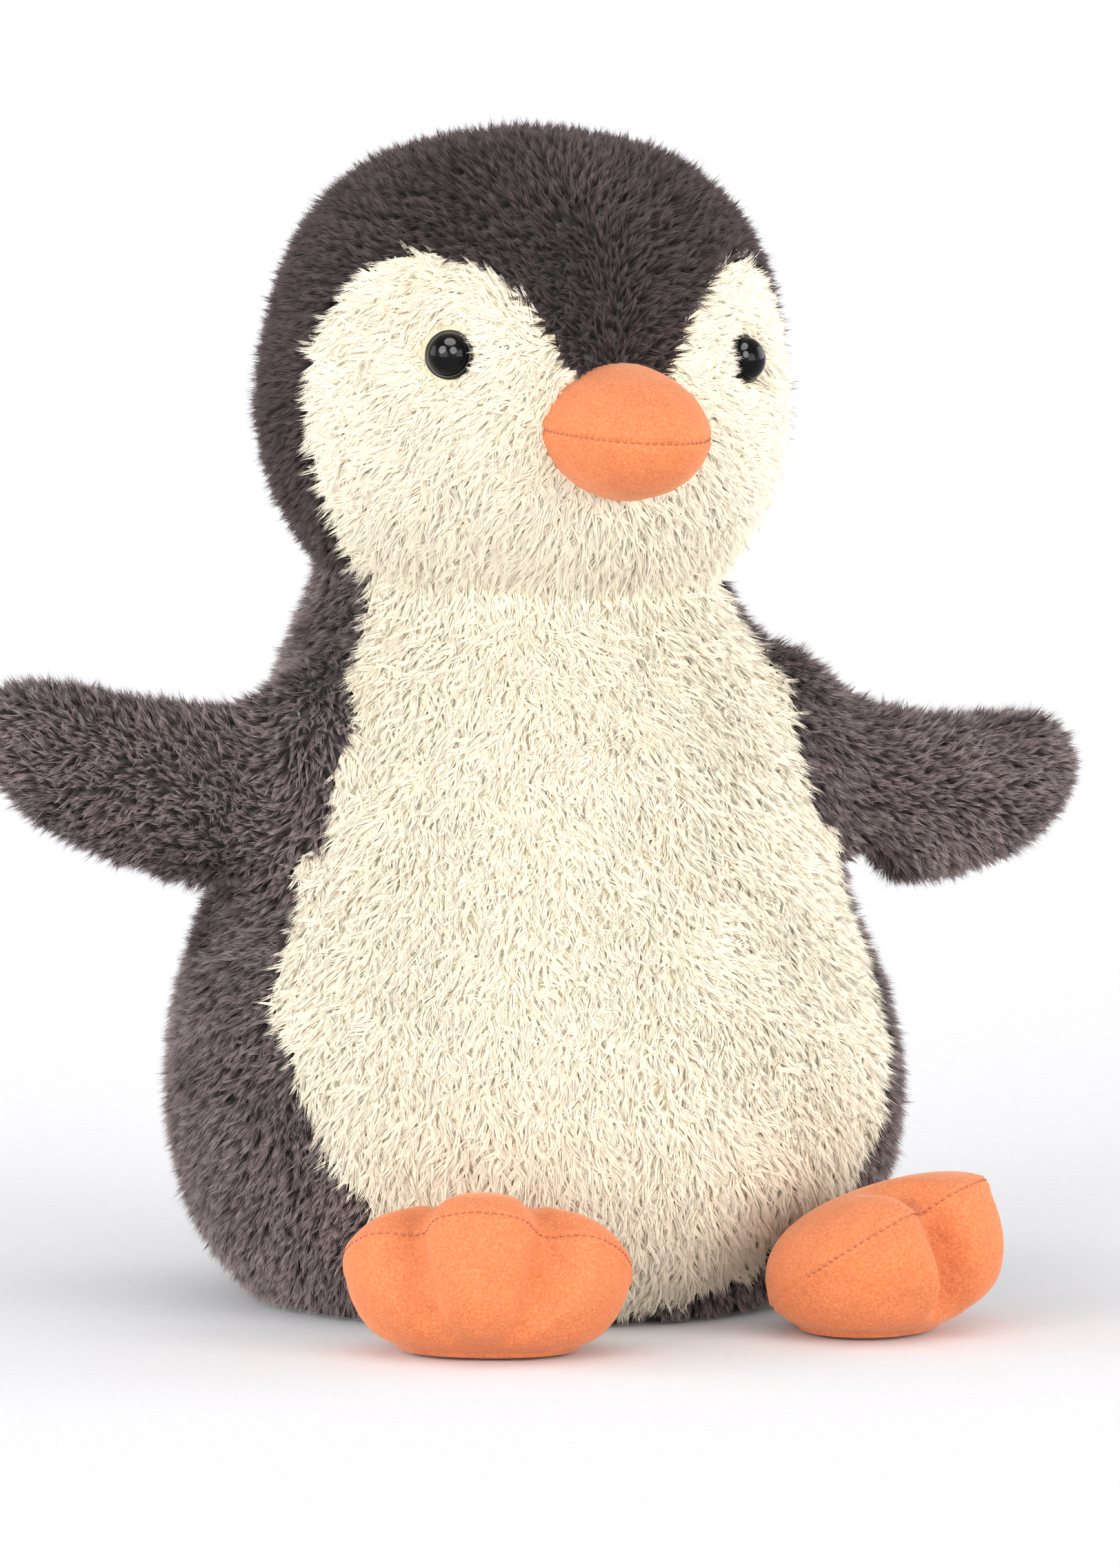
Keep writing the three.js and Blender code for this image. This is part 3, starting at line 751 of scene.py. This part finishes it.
def head_skin():
    """The head's stuffed ball on its round neck, squarer at its upper corners."""
    ball_centre = HEAD_CENTRE - Vector((HEAD_SHIFT, 0, 0))
    balls = [(ball_centre, HEAD_RADIUS + HEAD_SWELL), (NECK_PIVOT, NECK_RADIUS)]
    meshes = [ball_mesh(centre, (radius,) * 3, 5) for centre, radius in balls]
    mesh = fused(meshes, SKIN_VOXEL, 2)
    points, _, _ = mesh_arrays(mesh)
    away = points - np.array(HEAD_CENTRE)
    height = away[:, 2] / HEAD_RADIUS
    side = np.abs(away[:, 0]) / HEAD_RADIUS
    corner = smoothstep(*HEAD_CORNER_HEIGHTS, height) * smoothstep(*HEAD_CORNER_SIDES, side)
    swell = HEAD_CORNER_SWELL * corner + HEAD_LUMPS * waves(points, HEAD_LUMP_SIZE, 3)
    swell -= EYE_POCKET_DEPTH / HEAD_RADIUS * smoothstep(*EYE_POCKET_SPAN, eye_gaps(points)[0])
    set_points(mesh, np.array(HEAD_CENTRE) + away * (1 + swell)[:, None])
    points, _, _ = mesh_arrays(mesh)
    held = (points[:, 2] < NECK_RIM).astype(float)
    return subdivided(puffed(mesh, HEAD_PUFF, SKIN_PRESSURE, held), 1)


class Skin:
    """A skin's mesh arrays, and how deep its pile can go at each point."""

    def __init__(self, mesh):
        self.points, self.corners, self.normals = mesh_arrays(mesh)
        self.tree = tree_of(mesh)
        room = np.array([self.thickness(i) for i in range(len(self.points))])
        self.depth = np.minimum(PILE_DEPTH, PILE_SHARE_OF_ROOM * room)

    def thickness(self, index):
        """How far the skin's far side is behind a point."""
        normal = Vector(self.normals[index])
        start = Vector(self.points[index]) - normal * RAY_START
        distance = self.tree.ray_cast(start, -normal, RAY_REACH)[3]
        return distance or RAY_REACH

    def spread(self, area_each):
        """Evenly spread points with their normals and pile depths."""
        a, b, c = (self.points[self.corners[:, i]] for i in range(3))
        areas = np.linalg.norm(np.cross(b - a, c - a), axis=1) / 2
        reach = np.cumsum(areas)
        count = int(reach[-1] / area_each)
        at = (np.arange(count) + rng.random(count)) * area_each
        face = np.minimum(np.searchsorted(reach, at), len(areas) - 1)
        u, v = rng.random(count), rng.random(count)
        over = u + v > 1
        u, v = np.where(over, 1 - u, u), np.where(over, 1 - v, v)
        weights = np.stack([1 - u - v, u, v], axis=1)
        corner = self.corners[face]
        place = (self.points[corner] * weights[:, :, None]).sum(1)
        normal = unit((self.normals[corner] * weights[:, :, None]).sum(1))
        return {"place": place, "normal": normal, "depth": (self.depth[corner] * weights).sum(1)}


class Panels:
    """Finds which CAD panel a point belongs to."""

    def __init__(self, names):
        points, faces, self.owner = [], [], []
        for index, name in enumerate(names):
            place, corners, _ = mesh_arrays(cad_mesh(name))
            faces.extend((corners + len(points)).tolist())
            points.extend(place.tolist())
            self.owner.extend([index] * len(corners))
        self.tree = BVHTree.FromPolygons(points, faces)

    def nearest(self, places):
        """Index of the nearest panel, and the distance to it, for each point."""
        found = [self.tree.find_nearest(place) for place in places.tolist()]
        return np.array([self.owner[hit[2]] for hit in found]), np.array([hit[3] for hit in found])


HEAD_MAP = Panels(HEAD_PANELS)
TORSO_MAP = Panels(TORSO_PANELS)


def region_names(places, on_head):
    """The name of the part of the cover that each point is on."""
    if on_head:
        owner, _ = HEAD_MAP.nearest(places)
        return np.array(HEAD_PANELS)[owner]
    owner, distance = TORSO_MAP.nearest(places)
    region = np.array(TORSO_PANELS)[owner]
    side = np.abs(places[:, 0])
    angle = np.degrees(np.arctan2(side, -places[:, 1]))
    height = places[:, 2]
    at_wing = (side > WING_ROOT_SIDE) & (height > WING_UNDERSIDE)
    at_wing &= height < NECK_RIM - WING_TOP_MARGIN
    wing = at_wing & ((distance > WING_CLEARANCE) | (side > WING_SURE_SIDE))
    for name, sign in SIDES.items():
        ours = wing & (places[:, 0] * sign > 0)
        cream = (angle < BELLY_TO_WING_ANGLES[name]) & (side < BELLY_SIDE)
        region[ours] = np.where(cream[ours], "belly_panel", f"wing_{name}")
    return region


def is_cream(region):
    """Whether a region's fabric is the pale one."""
    return region.startswith(("face", "belly"))


def attach(piece, region):
    """Moves a piece of cover with its body. A wing's cover is attached to no body: its place is
    baked into its points.
    """
    if region.startswith("wing"):
        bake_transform(piece)
    else:
        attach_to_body(piece, "head" if region in HEAD_PANELS else "torso")


def replaced_nodes(region):
    """The CAD nodes that a region's backing cloth stands for."""
    if region.startswith("wing"):
        return [f"{region}_front", f"{region}_back", f"{region}_stuffing"]
    return [region, "head_stuffing"] if region == "head_side_left" else [region]


def add_backing(skin, on_head):
    """The backing cloth of each part of the cover, inside the pile."""
    inner = skin.points - skin.normals * (skin.depth + BACKING_DEPTH)[:, None]
    centres = skin.points[skin.corners].mean(1)
    regions = region_names(centres, on_head)
    for region in sorted(set(regions)):
        faces = skin.corners[regions == region]
        used, local = np.unique(faces, return_inverse=True)
        material = CREAM_KNIT if is_cream(region) else DARK_KNIT
        piece = add_mesh(f"{region}_cloth", inner[used], local.reshape(-1, 3), material)
        attach(piece, region)
        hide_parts(*replaced_nodes(region))


# ---------- fur ----------


def turned(vectors, normals, angles):
    """Each vector turned about its normal by an angle in radians."""
    cos, sin = np.cos(angles)[:, None], np.sin(angles)[:, None]
    return vectors * cos + np.cross(normals, vectors) * sin


def leaning(normals, combs, degrees):
    """Directions that lean from the normals towards the combing."""
    angle = np.radians(degrees)[:, None]
    return normals * np.cos(angle) + combs * np.sin(angle)


def strand_arrays(tufts, lean, gather, local):
    """Every strand of some tufts, as points, triangles, point values and skin normals."""
    count = len(tufts["root"]) * STRANDS_PER_TUFT
    roots, normals, combs, lengths = (
        np.repeat(tufts[key], STRANDS_PER_TUFT, axis=0)
        for key in ("root", "normal", "comb", "length")
    )
    across = np.cross(normals, combs)
    angle = local.uniform(0, 2 * math.pi, count)
    radius = TUFT_RADIUS * np.sqrt(local.random(count))
    offset = across * (radius * np.cos(angle))[:, None] + combs * (radius * np.sin(angle))[:, None]
    tuft_leans = local.normal(lean, TUFT_LEAN_SPREAD, len(tufts["root"]))
    leans = np.repeat(tuft_leans, STRANDS_PER_TUFT)
    way = leaning(normals, combs, leans + local.normal(0, STRAND_LEAN_SPREAD, count))
    reach = (lengths * local.normal(1, LENGTH_SPREAD, count))[:, None]
    base = roots + offset
    tip = base + way * reach - offset * gather + local.normal(0, TIP_SCATTER, (count, 3))
    side = unit(np.cross(way, normals)) * STRAND_WIDTH / 2
    ridge = normals * STRAND_WIDTH * STRAND_RIDGE
    points = np.stack([base - side, base + side, base + ridge, tip], 1)
    points[:, :, 2] = np.maximum(points[:, :, 2], LEAST_HEIGHT)
    pattern = np.array([[0, 2, 3], [2, 1, 3], [1, 0, 3], [0, 1, 2]])
    faces = pattern[None] + 4 * np.arange(count)[:, None, None]
    tuft_shade = np.repeat(local.random(len(tufts["root"])), STRANDS_PER_TUFT)
    own_shade = STRAND_SHADE_SHARE * local.random(count)
    shade = np.repeat((1 - STRAND_SHADE_SHARE) * tuft_shade + own_shade, 4)
    along = np.tile([0.0, 0.0, 0.0, 1.0], count)
    facing = np.repeat(normals, 4, axis=0)
    return points.reshape(-1, 3), faces.reshape(-1, 3), along, shade, facing


def add_fur(region, tufts, seed):
    """One region's fur, in bands by height of at most MOST_STRANDS_IN_A_PIECE."""
    order = np.argsort(tufts["root"][:, 2])
    bands = max(1, math.ceil(len(order) * STRANDS_PER_TUFT / MOST_STRANDS_IN_A_PIECE))
    # The head's dark fur is the darker copy, painted shade for the head being lit less than the
    # body.
    dark = SHADED_HEAD_FUR if region.startswith("head") else DARK_FUR
    material = CREAM_FUR if is_cream(region) else dark
    local = np.random.default_rng(seed)
    kind = "cream" if is_cream(region) else "dark"
    lean, gather = STRAND_LEANS[kind], TUFT_GATHERS[kind]
    for index, rows in enumerate(np.array_split(order, bands)):
        band = chosen(tufts, rows)
        points, faces, along, shade, facing = strand_arrays(band, lean, gather, local)
        name = f"{region}_fur" if bands == 1 else f"{region}_fur_{index + 1}"
        values = {"along": along, "shade": shade}
        piece = add_mesh(name, points, faces, material, is_cream(region), values)
        if is_cream(region):
            piece.data.normals_split_custom_set_from_vertices(facing.tolist())
        attach(piece, region)


def chosen(tufts, mask):
    """Some of the tufts, picked by a mask or by their numbers."""
    return {key: values[mask] for key, values in tufts.items()}


BEAK_LOW, BEAK_HIGH = corners_of("beak_upper", "beak_lower")
BEAK_MIDDLE = (BEAK_LOW + BEAK_HIGH) / 2


def beak_outlines(place):
    """How far each point is from the beak's middle, in beak outlines, and 9 at the back."""
    half = np.array([BEAK_HIGH.x - BEAK_LOW.x, BEAK_HIGH.z - BEAK_LOW.z]) / 2
    offset = np.abs(place[:, [0, 2]] - [BEAK_MIDDLE.x, BEAK_MIDDLE.z]) / half
    return np.where(place[:, 1] < 0, (offset**BEAK_OUTLINE_POWER).sum(1), 9)


def comb_head(tufts):
    """Fur that falls away from the beak on the face and down the back of the head."""
    place, normal = tufts["place"], tufts["normal"]
    down = np.array([[0.0, 0.0, -1.0]])
    away = place - np.array([0, -HEAD_RADIUS, BEAK_MIDDLE.z])
    face = unit(along_surface(away, normal) + FACE_DOWNWARD * along_surface(down, normal))
    back = along_surface(np.array([BACK_COMB]), normal)
    front = smoothstep(*FACE_SPAN, place[:, 1])[:, None]
    gap, from_eye = eye_gaps(place)
    near_eye = smoothstep(*EYE_COMB_SPAN, gap)[:, None]
    comb = face * front + back * (1 - front) + EYE_COMB * near_eye * from_eye
    near_beak = smoothstep(*BEAK_SHORT_SPAN, beak_outlines(place))
    length = STRAND_LENGTH * (1 - EYE_SHORTENING * near_eye[:, 0])
    length *= 1 - BEAK_SHORTENING * near_beak
    return {**tufts, "comb": along_surface(comb, normal), "length": length}


def on_head_cover(tufts):
    """Which tufts are clear of the eyes, the beak and the neck."""
    gap, _ = eye_gaps(tufts["place"])
    covered = (gap > EYE_BARE) & (beak_outlines(tufts["place"]) > BEAK_BARE)
    return covered & (tufts["place"][:, 2] > NECK_RIM - CHIN_OVERLAP)


def comb_trunk(tufts):
    """Fur that falls down the body and runs out along the wings."""
    place, normal = tufts["place"], tufts["normal"]
    down = np.array([[0.0, 0.0, -1.0]])
    outward = np.sign(place[:, :1]) * np.array([WING_COMB])
    wing = smoothstep(*WING_COMB_SPAN, np.abs(place[:, 0])) * (place[:, 2] > WING_COMB_BOTTOM)
    comb = along_surface(down * (1 - wing)[:, None] + outward * wing[:, None], normal)
    return {**tufts, "comb": comb, "length": np.full(len(place), STRAND_LENGTH)}


def on_trunk_cover(tufts):
    """Which tufts are clear of the bowl under the head and of the flat base."""
    place, normal = tufts["place"], tufts["normal"]
    from_neck = np.linalg.norm(place - np.array(NECK_PIVOT), axis=1)
    under_head = from_neck < NECK_RADIUS + NECK_BARE
    under_head &= place[:, 2] > NECK_RIM - NECK_BARE_MARGIN
    underneath = (place[:, 2] < BASE_BARE) & (normal[:, 2] < BASE_FACING)
    return ~under_head & ~underneath


def styled(tufts):
    """Swirls the combing, varies the length and sets each root under the outline."""
    place, normal = tufts["place"], tufts["normal"]
    swirl = sum(SWIRL * waves(place, size, seed) for seed, size in SWIRL_SIZES.items())
    swirl += rng.normal(0, SWIRL_SPREAD, len(place))
    tufts["comb"] = turned(tufts["comb"], normal, swirl)
    tufts["root"] = place - normal * tufts["depth"][:, None]
    share = THIN_LENGTH + (1 - THIN_LENGTH) * tufts["depth"] / PILE_DEPTH
    tufts["length"] = tufts["length"] * share * rng.normal(1, LENGTH_SPREAD, len(place))
    return tufts


def add_cover(skin, comb, covered, on_head, seed):
    """The backing cloth and the fur of the head or of the trunk."""
    add_backing(skin, on_head)
    tufts = skin.spread(TUFT_AREA)
    tufts = styled(comb(chosen(tufts, covered(tufts))))
    regions = region_names(tufts["place"], on_head)
    for index, region in enumerate(sorted(set(regions))):
        add_fur(region, chosen(tufts, regions == region), seed + index)


TRUNK = Skin(trunk_skin())
add_cover(Skin(head_skin()), comb_head, on_head_cover, True, 100)
add_cover(TRUNK, comb_trunk, on_trunk_cover, False, 200)

# ---------- suede: feet and beak ----------


def seam_plane(first, second):
    """Points of the flat seam between two CAD nodes, and its normal towards the first."""
    ours, theirs = (mesh_arrays(cad_mesh(name))[0] for name in (first, second))
    tree = tree_of(cad_mesh(second))
    close = np.array([tree.find_nearest(point)[3] < SEAM_GAP for point in ours.tolist()])
    seam = ours[close]
    normal = np.linalg.svd(seam - seam.mean(0))[2][2]
    return seam, normal * np.sign((ours.mean(0) - theirs.mean(0)) @ normal)


class SuedeForm:
    """The frame of a stuffed suede form: the plane of its main seam, across and forward."""

    def __init__(self, upper, lower):
        self.seam, self.normal = seam_plane(upper, lower)
        self.centre = (self.seam.min(0) + self.seam.max(0)) / 2
        stands_up = abs(self.normal[1]) > STANDING_SEAM * abs(self.normal[2])
        level = np.cross([0, 0, 1], self.normal)
        self.across = unit(level if stands_up else np.cross(self.normal, [0, 1, 0]))
        self.forward = np.cross(self.normal, self.across)

    def move_centre_from_tip(self, length):
        """Puts the centre in the middle of the width and this far behind the tip."""
        local = self.local(self.seam)
        middle_across = (local[:, 0].min() + local[:, 0].max()) / 2
        self.centre = self.world(np.array([middle_across, local[:, 1].max() - length, 0]))

    def local(self, points):
        """Points as across, forward and height above the seam plane."""
        axes = np.stack([self.across, self.forward, self.normal], axis=1)
        return (points - self.centre) @ axes

    def world(self, local):
        """Points in the frame's axes, from local ones."""
        axes = np.stack([self.across, self.forward, self.normal], axis=0)
        return self.centre + local @ axes


def read_along(at, reach, vectors):
    """Vectors given along a line, read at other distances along it."""
    return np.stack([np.interp(at, reach, vectors[:, i]) for i in range(3)], 1)


def ring_faces(rings, around):
    """Quads that join each ring of points to the next."""
    first = [[ring * around + k, ring * around + (k + 1) % around]
             for ring in range(rings - 1) for k in range(around)]
    return np.array([[a, b, b + around, a + around] for a, b in first])


def add_stitches(name, line, normals, body):
    """Small rounded stitches laid along a line on a surface."""
    steps = np.linalg.norm(np.diff(line, axis=0), axis=1)
    reach = np.concatenate([[0], np.cumsum(steps)])
    count = int(reach[-1] / STITCH_PITCH)
    middles = (np.arange(count) + 0.5) * reach[-1] / count
    at, up = read_along(middles, reach, line), unit(read_along(middles, reach, normals))
    after = read_along(middles + STITCH_PITCH / 2, reach, line)
    before = read_along(middles - STITCH_PITCH / 2, reach, line)
    ahead = along_surface(after - before, up)
    side = np.cross(ahead, up)
    points = []
    for along, width in STITCH_RINGS:
        lift = STITCH_RADIUS * (0.5 - abs(along))
        for k in range(STITCH_SIDES):
            angle = 2 * math.pi * k / STITCH_SIDES
            spoke = side * math.cos(angle) + up * math.sin(angle)
            middle_line = at + ahead * (along * STITCH_LENGTH) + up * lift
            points.append(middle_line + spoke * (STITCH_RADIUS * width))
    points = np.stack(points, 1)
    faces = ring_faces(len(STITCH_RINGS), STITCH_SIDES)
    every = faces[None] + points.shape[1] * np.arange(count)[:, None, None]
    piece = add_mesh(name, points.reshape(-1, 3), every.reshape(-1, 4), THREAD)
    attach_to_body(piece, body)


def seam_line(form, mesh, turn_from, turn_to, count=160):
    """Points and normals where a form's surface crosses its seam plane."""
    tree = tree_of(mesh)
    line, normals = [], []
    for angle in np.radians(np.linspace(turn_from, turn_to, count)):
        spoke = form.across * math.cos(angle) + form.forward * math.sin(angle)
        start = Vector(form.centre + spoke * SEAM_REACH)
        place, normal, _, _ = tree.ray_cast(start, Vector(-spoke))
        if place:
            line.append(place)
            normals.append(normal)
    return np.array(line), np.array(normals)


def sunk_seam(form, mesh):
    """Draws the surface in along the seam plane."""
    points, _, normals = mesh_arrays(mesh)
    height = form.local(points)[:, 2]
    dent = SEAM_DEPTH * np.exp(-((height / SEAM_WIDTH) ** 2))
    set_points(mesh, points - normals * dent[:, None])


def foot_outline(angles, side):
    """Distance from the foot's middle to its edge at each angle, in radians from across."""
    at_toes = np.sin(angles) > 0
    length = np.where(at_toes, FOOT_TOE_LENGTH, FOOT_HEEL_LENGTH)
    power = np.where(at_toes, FOOT_TOE_ROUNDNESS, FOOT_HEEL_ROUNDNESS)
    across, forward = np.abs(np.cos(angles)) / FOOT_HALF_WIDTH, np.abs(np.sin(angles)) / length
    reach = (across**power + forward**power) ** (-1 / power)
    from_front = np.degrees(angles) - 90
    notch = sum(
        np.exp(-(((from_front - sign * TOE_NOTCH_ANGLE) / TOE_NOTCH_WIDTH) ** 2))
        for sign in SIDES.values()
    )
    middle_toe = MIDDLE_TOE_REACH[side] * np.exp(-((from_front / MIDDLE_TOE_WIDTH) ** 2))
    return (1 + middle_toe - TOE_NOTCH_DEPTH[side] * notch) * reach


def toe_grooves(local, side):
    """1 along the sewn lines between the toes, and 0 away from them."""
    start = FOOT_TOE_LENGTH - TOE_GROOVE_LENGTH[side]
    end = start + TOE_GROOVE_FADE * TOE_GROOVE_LENGTH[side]
    fade = smoothstep(start, end, local[:, 1])
    narrowing = TOE_GROOVE_NARROWING * (FOOT_TOE_LENGTH - local[:, 1])
    lines = sum(
        np.exp(-(((local[:, 0] - sign * (TOE_GROOVE_OFFSET - narrowing)) / TOE_GROOVE_WIDTH) ** 2))
        for sign in SIDES.values()
    )
    return np.clip(lines * fade, 0, 1)


def foot_shape(form, side):
    """A plump pillow with three toes, in the frame of the foot's seam."""
    angles = np.linspace(0, 2 * math.pi, FOOT_SIDES, endpoint=False)
    latitudes = np.linspace(-math.pi / 2, math.pi / 2, FOOT_LAYERS)[1:-1]
    edge = foot_outline(angles, side)
    upper = FOOT_UPPER_THICKNESS[side]
    rings = []
    for latitude in latitudes:
        spread = math.cos(latitude) ** FOOT_FULLNESS
        thickness = upper if latitude > 0 else FOOT_SOLE_THICKNESS
        height = np.full(len(angles), thickness * math.sin(latitude))
        rings.append(np.stack([
            edge * spread * np.cos(angles), edge * spread * np.sin(angles), height,
        ], 1))
    poles = [[0, 0, -FOOT_SOLE_THICKNESS], [0, 0, upper]]
    local = np.concatenate(rings + [poles])
    last = (len(rings) - 1) * FOOT_SIDES
    faces = ring_faces(len(rings), FOOT_SIDES).tolist()
    for i in range(FOOT_SIDES):
        j = (i + 1) % FOOT_SIDES
        faces.append((len(local) - 2, j, i))
        faces.append((len(local) - 1, last + i, last + j))
    mesh = bpy.data.meshes.new("foot")
    mesh.from_pydata(form.world(local).tolist(), [], faces)
    mesh.update()
    return fused([mesh], FOOT_VOXEL, 1)


def kept_clear(points, side, skin):
    """Moves points out of the floor, and out of the belly at every lift of the foot."""
    joint = next(j for j in frame["joints"] if j["name"] == f"foot_{side}_lift")
    pivot, axis = Vector(joint["pos_m"]), Vector(joint["axis"])
    for degrees in (*LIFT_STEPS, joint["range_deg"][1]):
        turn = Matrix.Rotation(math.radians(degrees), 3, axis)
        for index, point in enumerate(points):
            place = turn @ (Vector(point) - pivot) + pivot
            near, normal, _, distance = skin.tree.find_nearest(place)
            depth = (near - place).dot(normal) + BELLY_GAP
            if depth > 0 and distance < BELLY_REACH:
                place += normal * depth
                points[index] = turn.inverted() @ (place - pivot) + pivot
    points[:, 2] = FLOOR_ROUNDING * np.log1p(np.exp(points[:, 2] / FLOOR_ROUNDING))
    return points


def add_foot(side, skin):
    """One foot: a stuffed suede pillow with sewn toes and a stitched seam round its edge."""
    body = f"foot_{side}"
    form = SuedeForm(f"{body}_upper", f"{body}_sole")
    form.move_centre_from_tip(FOOT_TOE_LENGTH * (1 + MIDDLE_TOE_REACH[side]) + FOOT_TIP_GAP)
    mesh = foot_shape(form, side)
    points, _, _ = mesh_arrays(mesh)
    local = form.local(points)
    groove = toe_grooves(local, side)
    toes = smoothstep(*TOE_SPAN, local[:, 1]) * (local[:, 2] < 0)
    local[:, 2] *= (1 + TOE_PLUMPNESS * toes) * (1 - TOE_GROOVE_DEPTH * groove)
    taper = FOOT_UPPER_TAPER[side] * np.clip(local[:, 1] / FOOT_TOE_LENGTH, -1, 1)
    local[:, 2] *= np.where(local[:, 2] > 0, 1 - taper, 1)
    points = kept_clear(form.world(local), side, skin)
    set_points(mesh, points)
    seam = np.exp(-((local[:, 2] / SEAM_HOLD) ** 2))
    contact = (points[:, 2] < CONTACT_HEIGHT).astype(float)
    mesh = puffed(mesh, FOOT_PUFF, SUEDE_PRESSURE, np.maximum.reduce([groove, seam, contact]))
    mesh = subdivided(mesh, 2)
    sunk_seam(form, mesh)
    points, corners, _ = mesh_arrays(mesh)
    points[:, 2] = np.maximum(points[:, 2], LEAST_SOLE_HEIGHT)
    piece = add_mesh(f"{body}_suede", points, corners, SUEDE)
    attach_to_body(piece, body)
    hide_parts(f"{body}_upper", f"{body}_sole", f"{body}_stuffing")
    line, normals = seam_line(form, piece.data, FOOT_SEAM_FROM, FOOT_SEAM_TO)
    add_stitches(f"{body}_stitches", line, normals, body)


def fitted(mesh, low, high):
    """Scales a mesh to fill a box."""
    points, _, _ = mesh_arrays(mesh)
    least, most = points.min(0), points.max(0)
    low, high = np.array(low), np.array(high)
    set_points(mesh, low + (points - least) * (high - low) / (most - least))


def add_beak():
    """The beak's stuffed suede and the stitches along the seam between its halves."""
    names = ["beak_upper", "beak_lower", "beak_stuffing"]
    form = SuedeForm(*names[:2])
    mesh = fused([cad_mesh(name) for name in names], SUEDE_VOXEL, 3)
    points, _, _ = mesh_arrays(mesh)
    seam = np.exp(-((form.local(points)[:, 2] / BEAK_SEAM_HOLD) ** 2))
    mesh = subdivided(puffed(mesh, BEAK_PUFF, SUEDE_PRESSURE, seam), 2)
    fitted(mesh, BEAK_LOW, BEAK_HIGH)
    sunk_seam(form, mesh)
    points, corners, _ = mesh_arrays(mesh)
    piece = add_mesh("beak_suede", points, corners, SUEDE)
    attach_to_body(piece, "head")
    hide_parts(*names)
    line, normals = seam_line(form, piece.data, 0, 360, 300)
    front = line[:, 1] < BEAK_STITCHED_BEFORE
    add_stitches("beak_stitches", line[front], normals[front], "head")


for name in SIDES:
    add_foot(name, TRUNK)
add_beak()

# ---------- eyes ----------


def eye_profile(top):
    """Radius and height of the rings of an eye: its flat back, beaded rim and dome."""
    rim = top - EYE_DOME_HEIGHT
    back = rim - EYE_RIM_THICKNESS
    rings = [(0.0, back), (EYE_RIM_RADIUS, back)]
    for turn in np.radians(np.linspace(-90, 90, 7)):
        radius = EYE_RIM_RADIUS + EYE_RIM_BEAD * (math.cos(turn) - 1)
        rings.append((radius, rim + EYE_RIM_LIFT + EYE_RIM_BEAD * math.sin(turn)))
    for turn in np.radians(np.linspace(2, 90, 16)):
        rings.append((EYE_DOME_RADIUS * math.cos(turn), rim + EYE_DOME_HEIGHT * math.sin(turn)))
    return rings


def add_eye(side):
    """A domed safety eye on a thin rim, turned about its shank."""
    axis = EYE_AXES[side]
    points, _, _ = mesh_arrays(cad_mesh(f"eye_{side}"))
    profile = eye_profile(((points - np.array(HEAD_CENTRE)) @ np.array(axis)).max())
    side_way = axis.cross(Vector((0, 0, 1))).normalized()
    up_way = side_way.cross(axis)
    rings = []
    for radius, height in profile:
        for k in range(EYE_SIDES):
            turn = 2 * math.pi * k / EYE_SIDES
            spoke = side_way * math.cos(turn) + up_way * math.sin(turn)
            rings.append(HEAD_CENTRE + axis * height + spoke * max(radius, EYE_LEAST_RADIUS))
    faces = ring_faces(len(profile), EYE_SIDES)
    piece = add_mesh(f"eye_{side}_button", np.array(rings), faces, EYE_PLASTIC)
    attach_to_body(piece, "head")
    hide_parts(f"eye_{side}")


for name in SIDES:
    add_eye(name)

# ---------- the CAD nodes that stay ----------


def dress(material, *nodes):
    """Gives a material to CAD nodes that stay."""
    for node in nodes:
        slots = cad_mesh(node).materials
        slots.clear()
        slots.append(material)


STUFFINGS = [name for name in frame["nodes"] if name.endswith("stuffing")]
WASHERS = ["eye_washer_left", "eye_washer_right"]

dress(DARK_KNIT, "base_panel")
dress(grained_material("stuffing", "#dcdad4", "#f7f6f2", FIBRES), *STUFFINGS)
dress(grained_material("pouch_cloth", "#d9d5cc", "#efece6", KNIT), "bean_pouch")
dress(grained_material("pellets", "#cfcabd", "#ebe7de", PELLET_PLASTIC), "bean_fill")
dress(grained_material("washer_plastic", "#cbcbc7", "#dededa", WASHER_PLASTIC), *WASHERS)
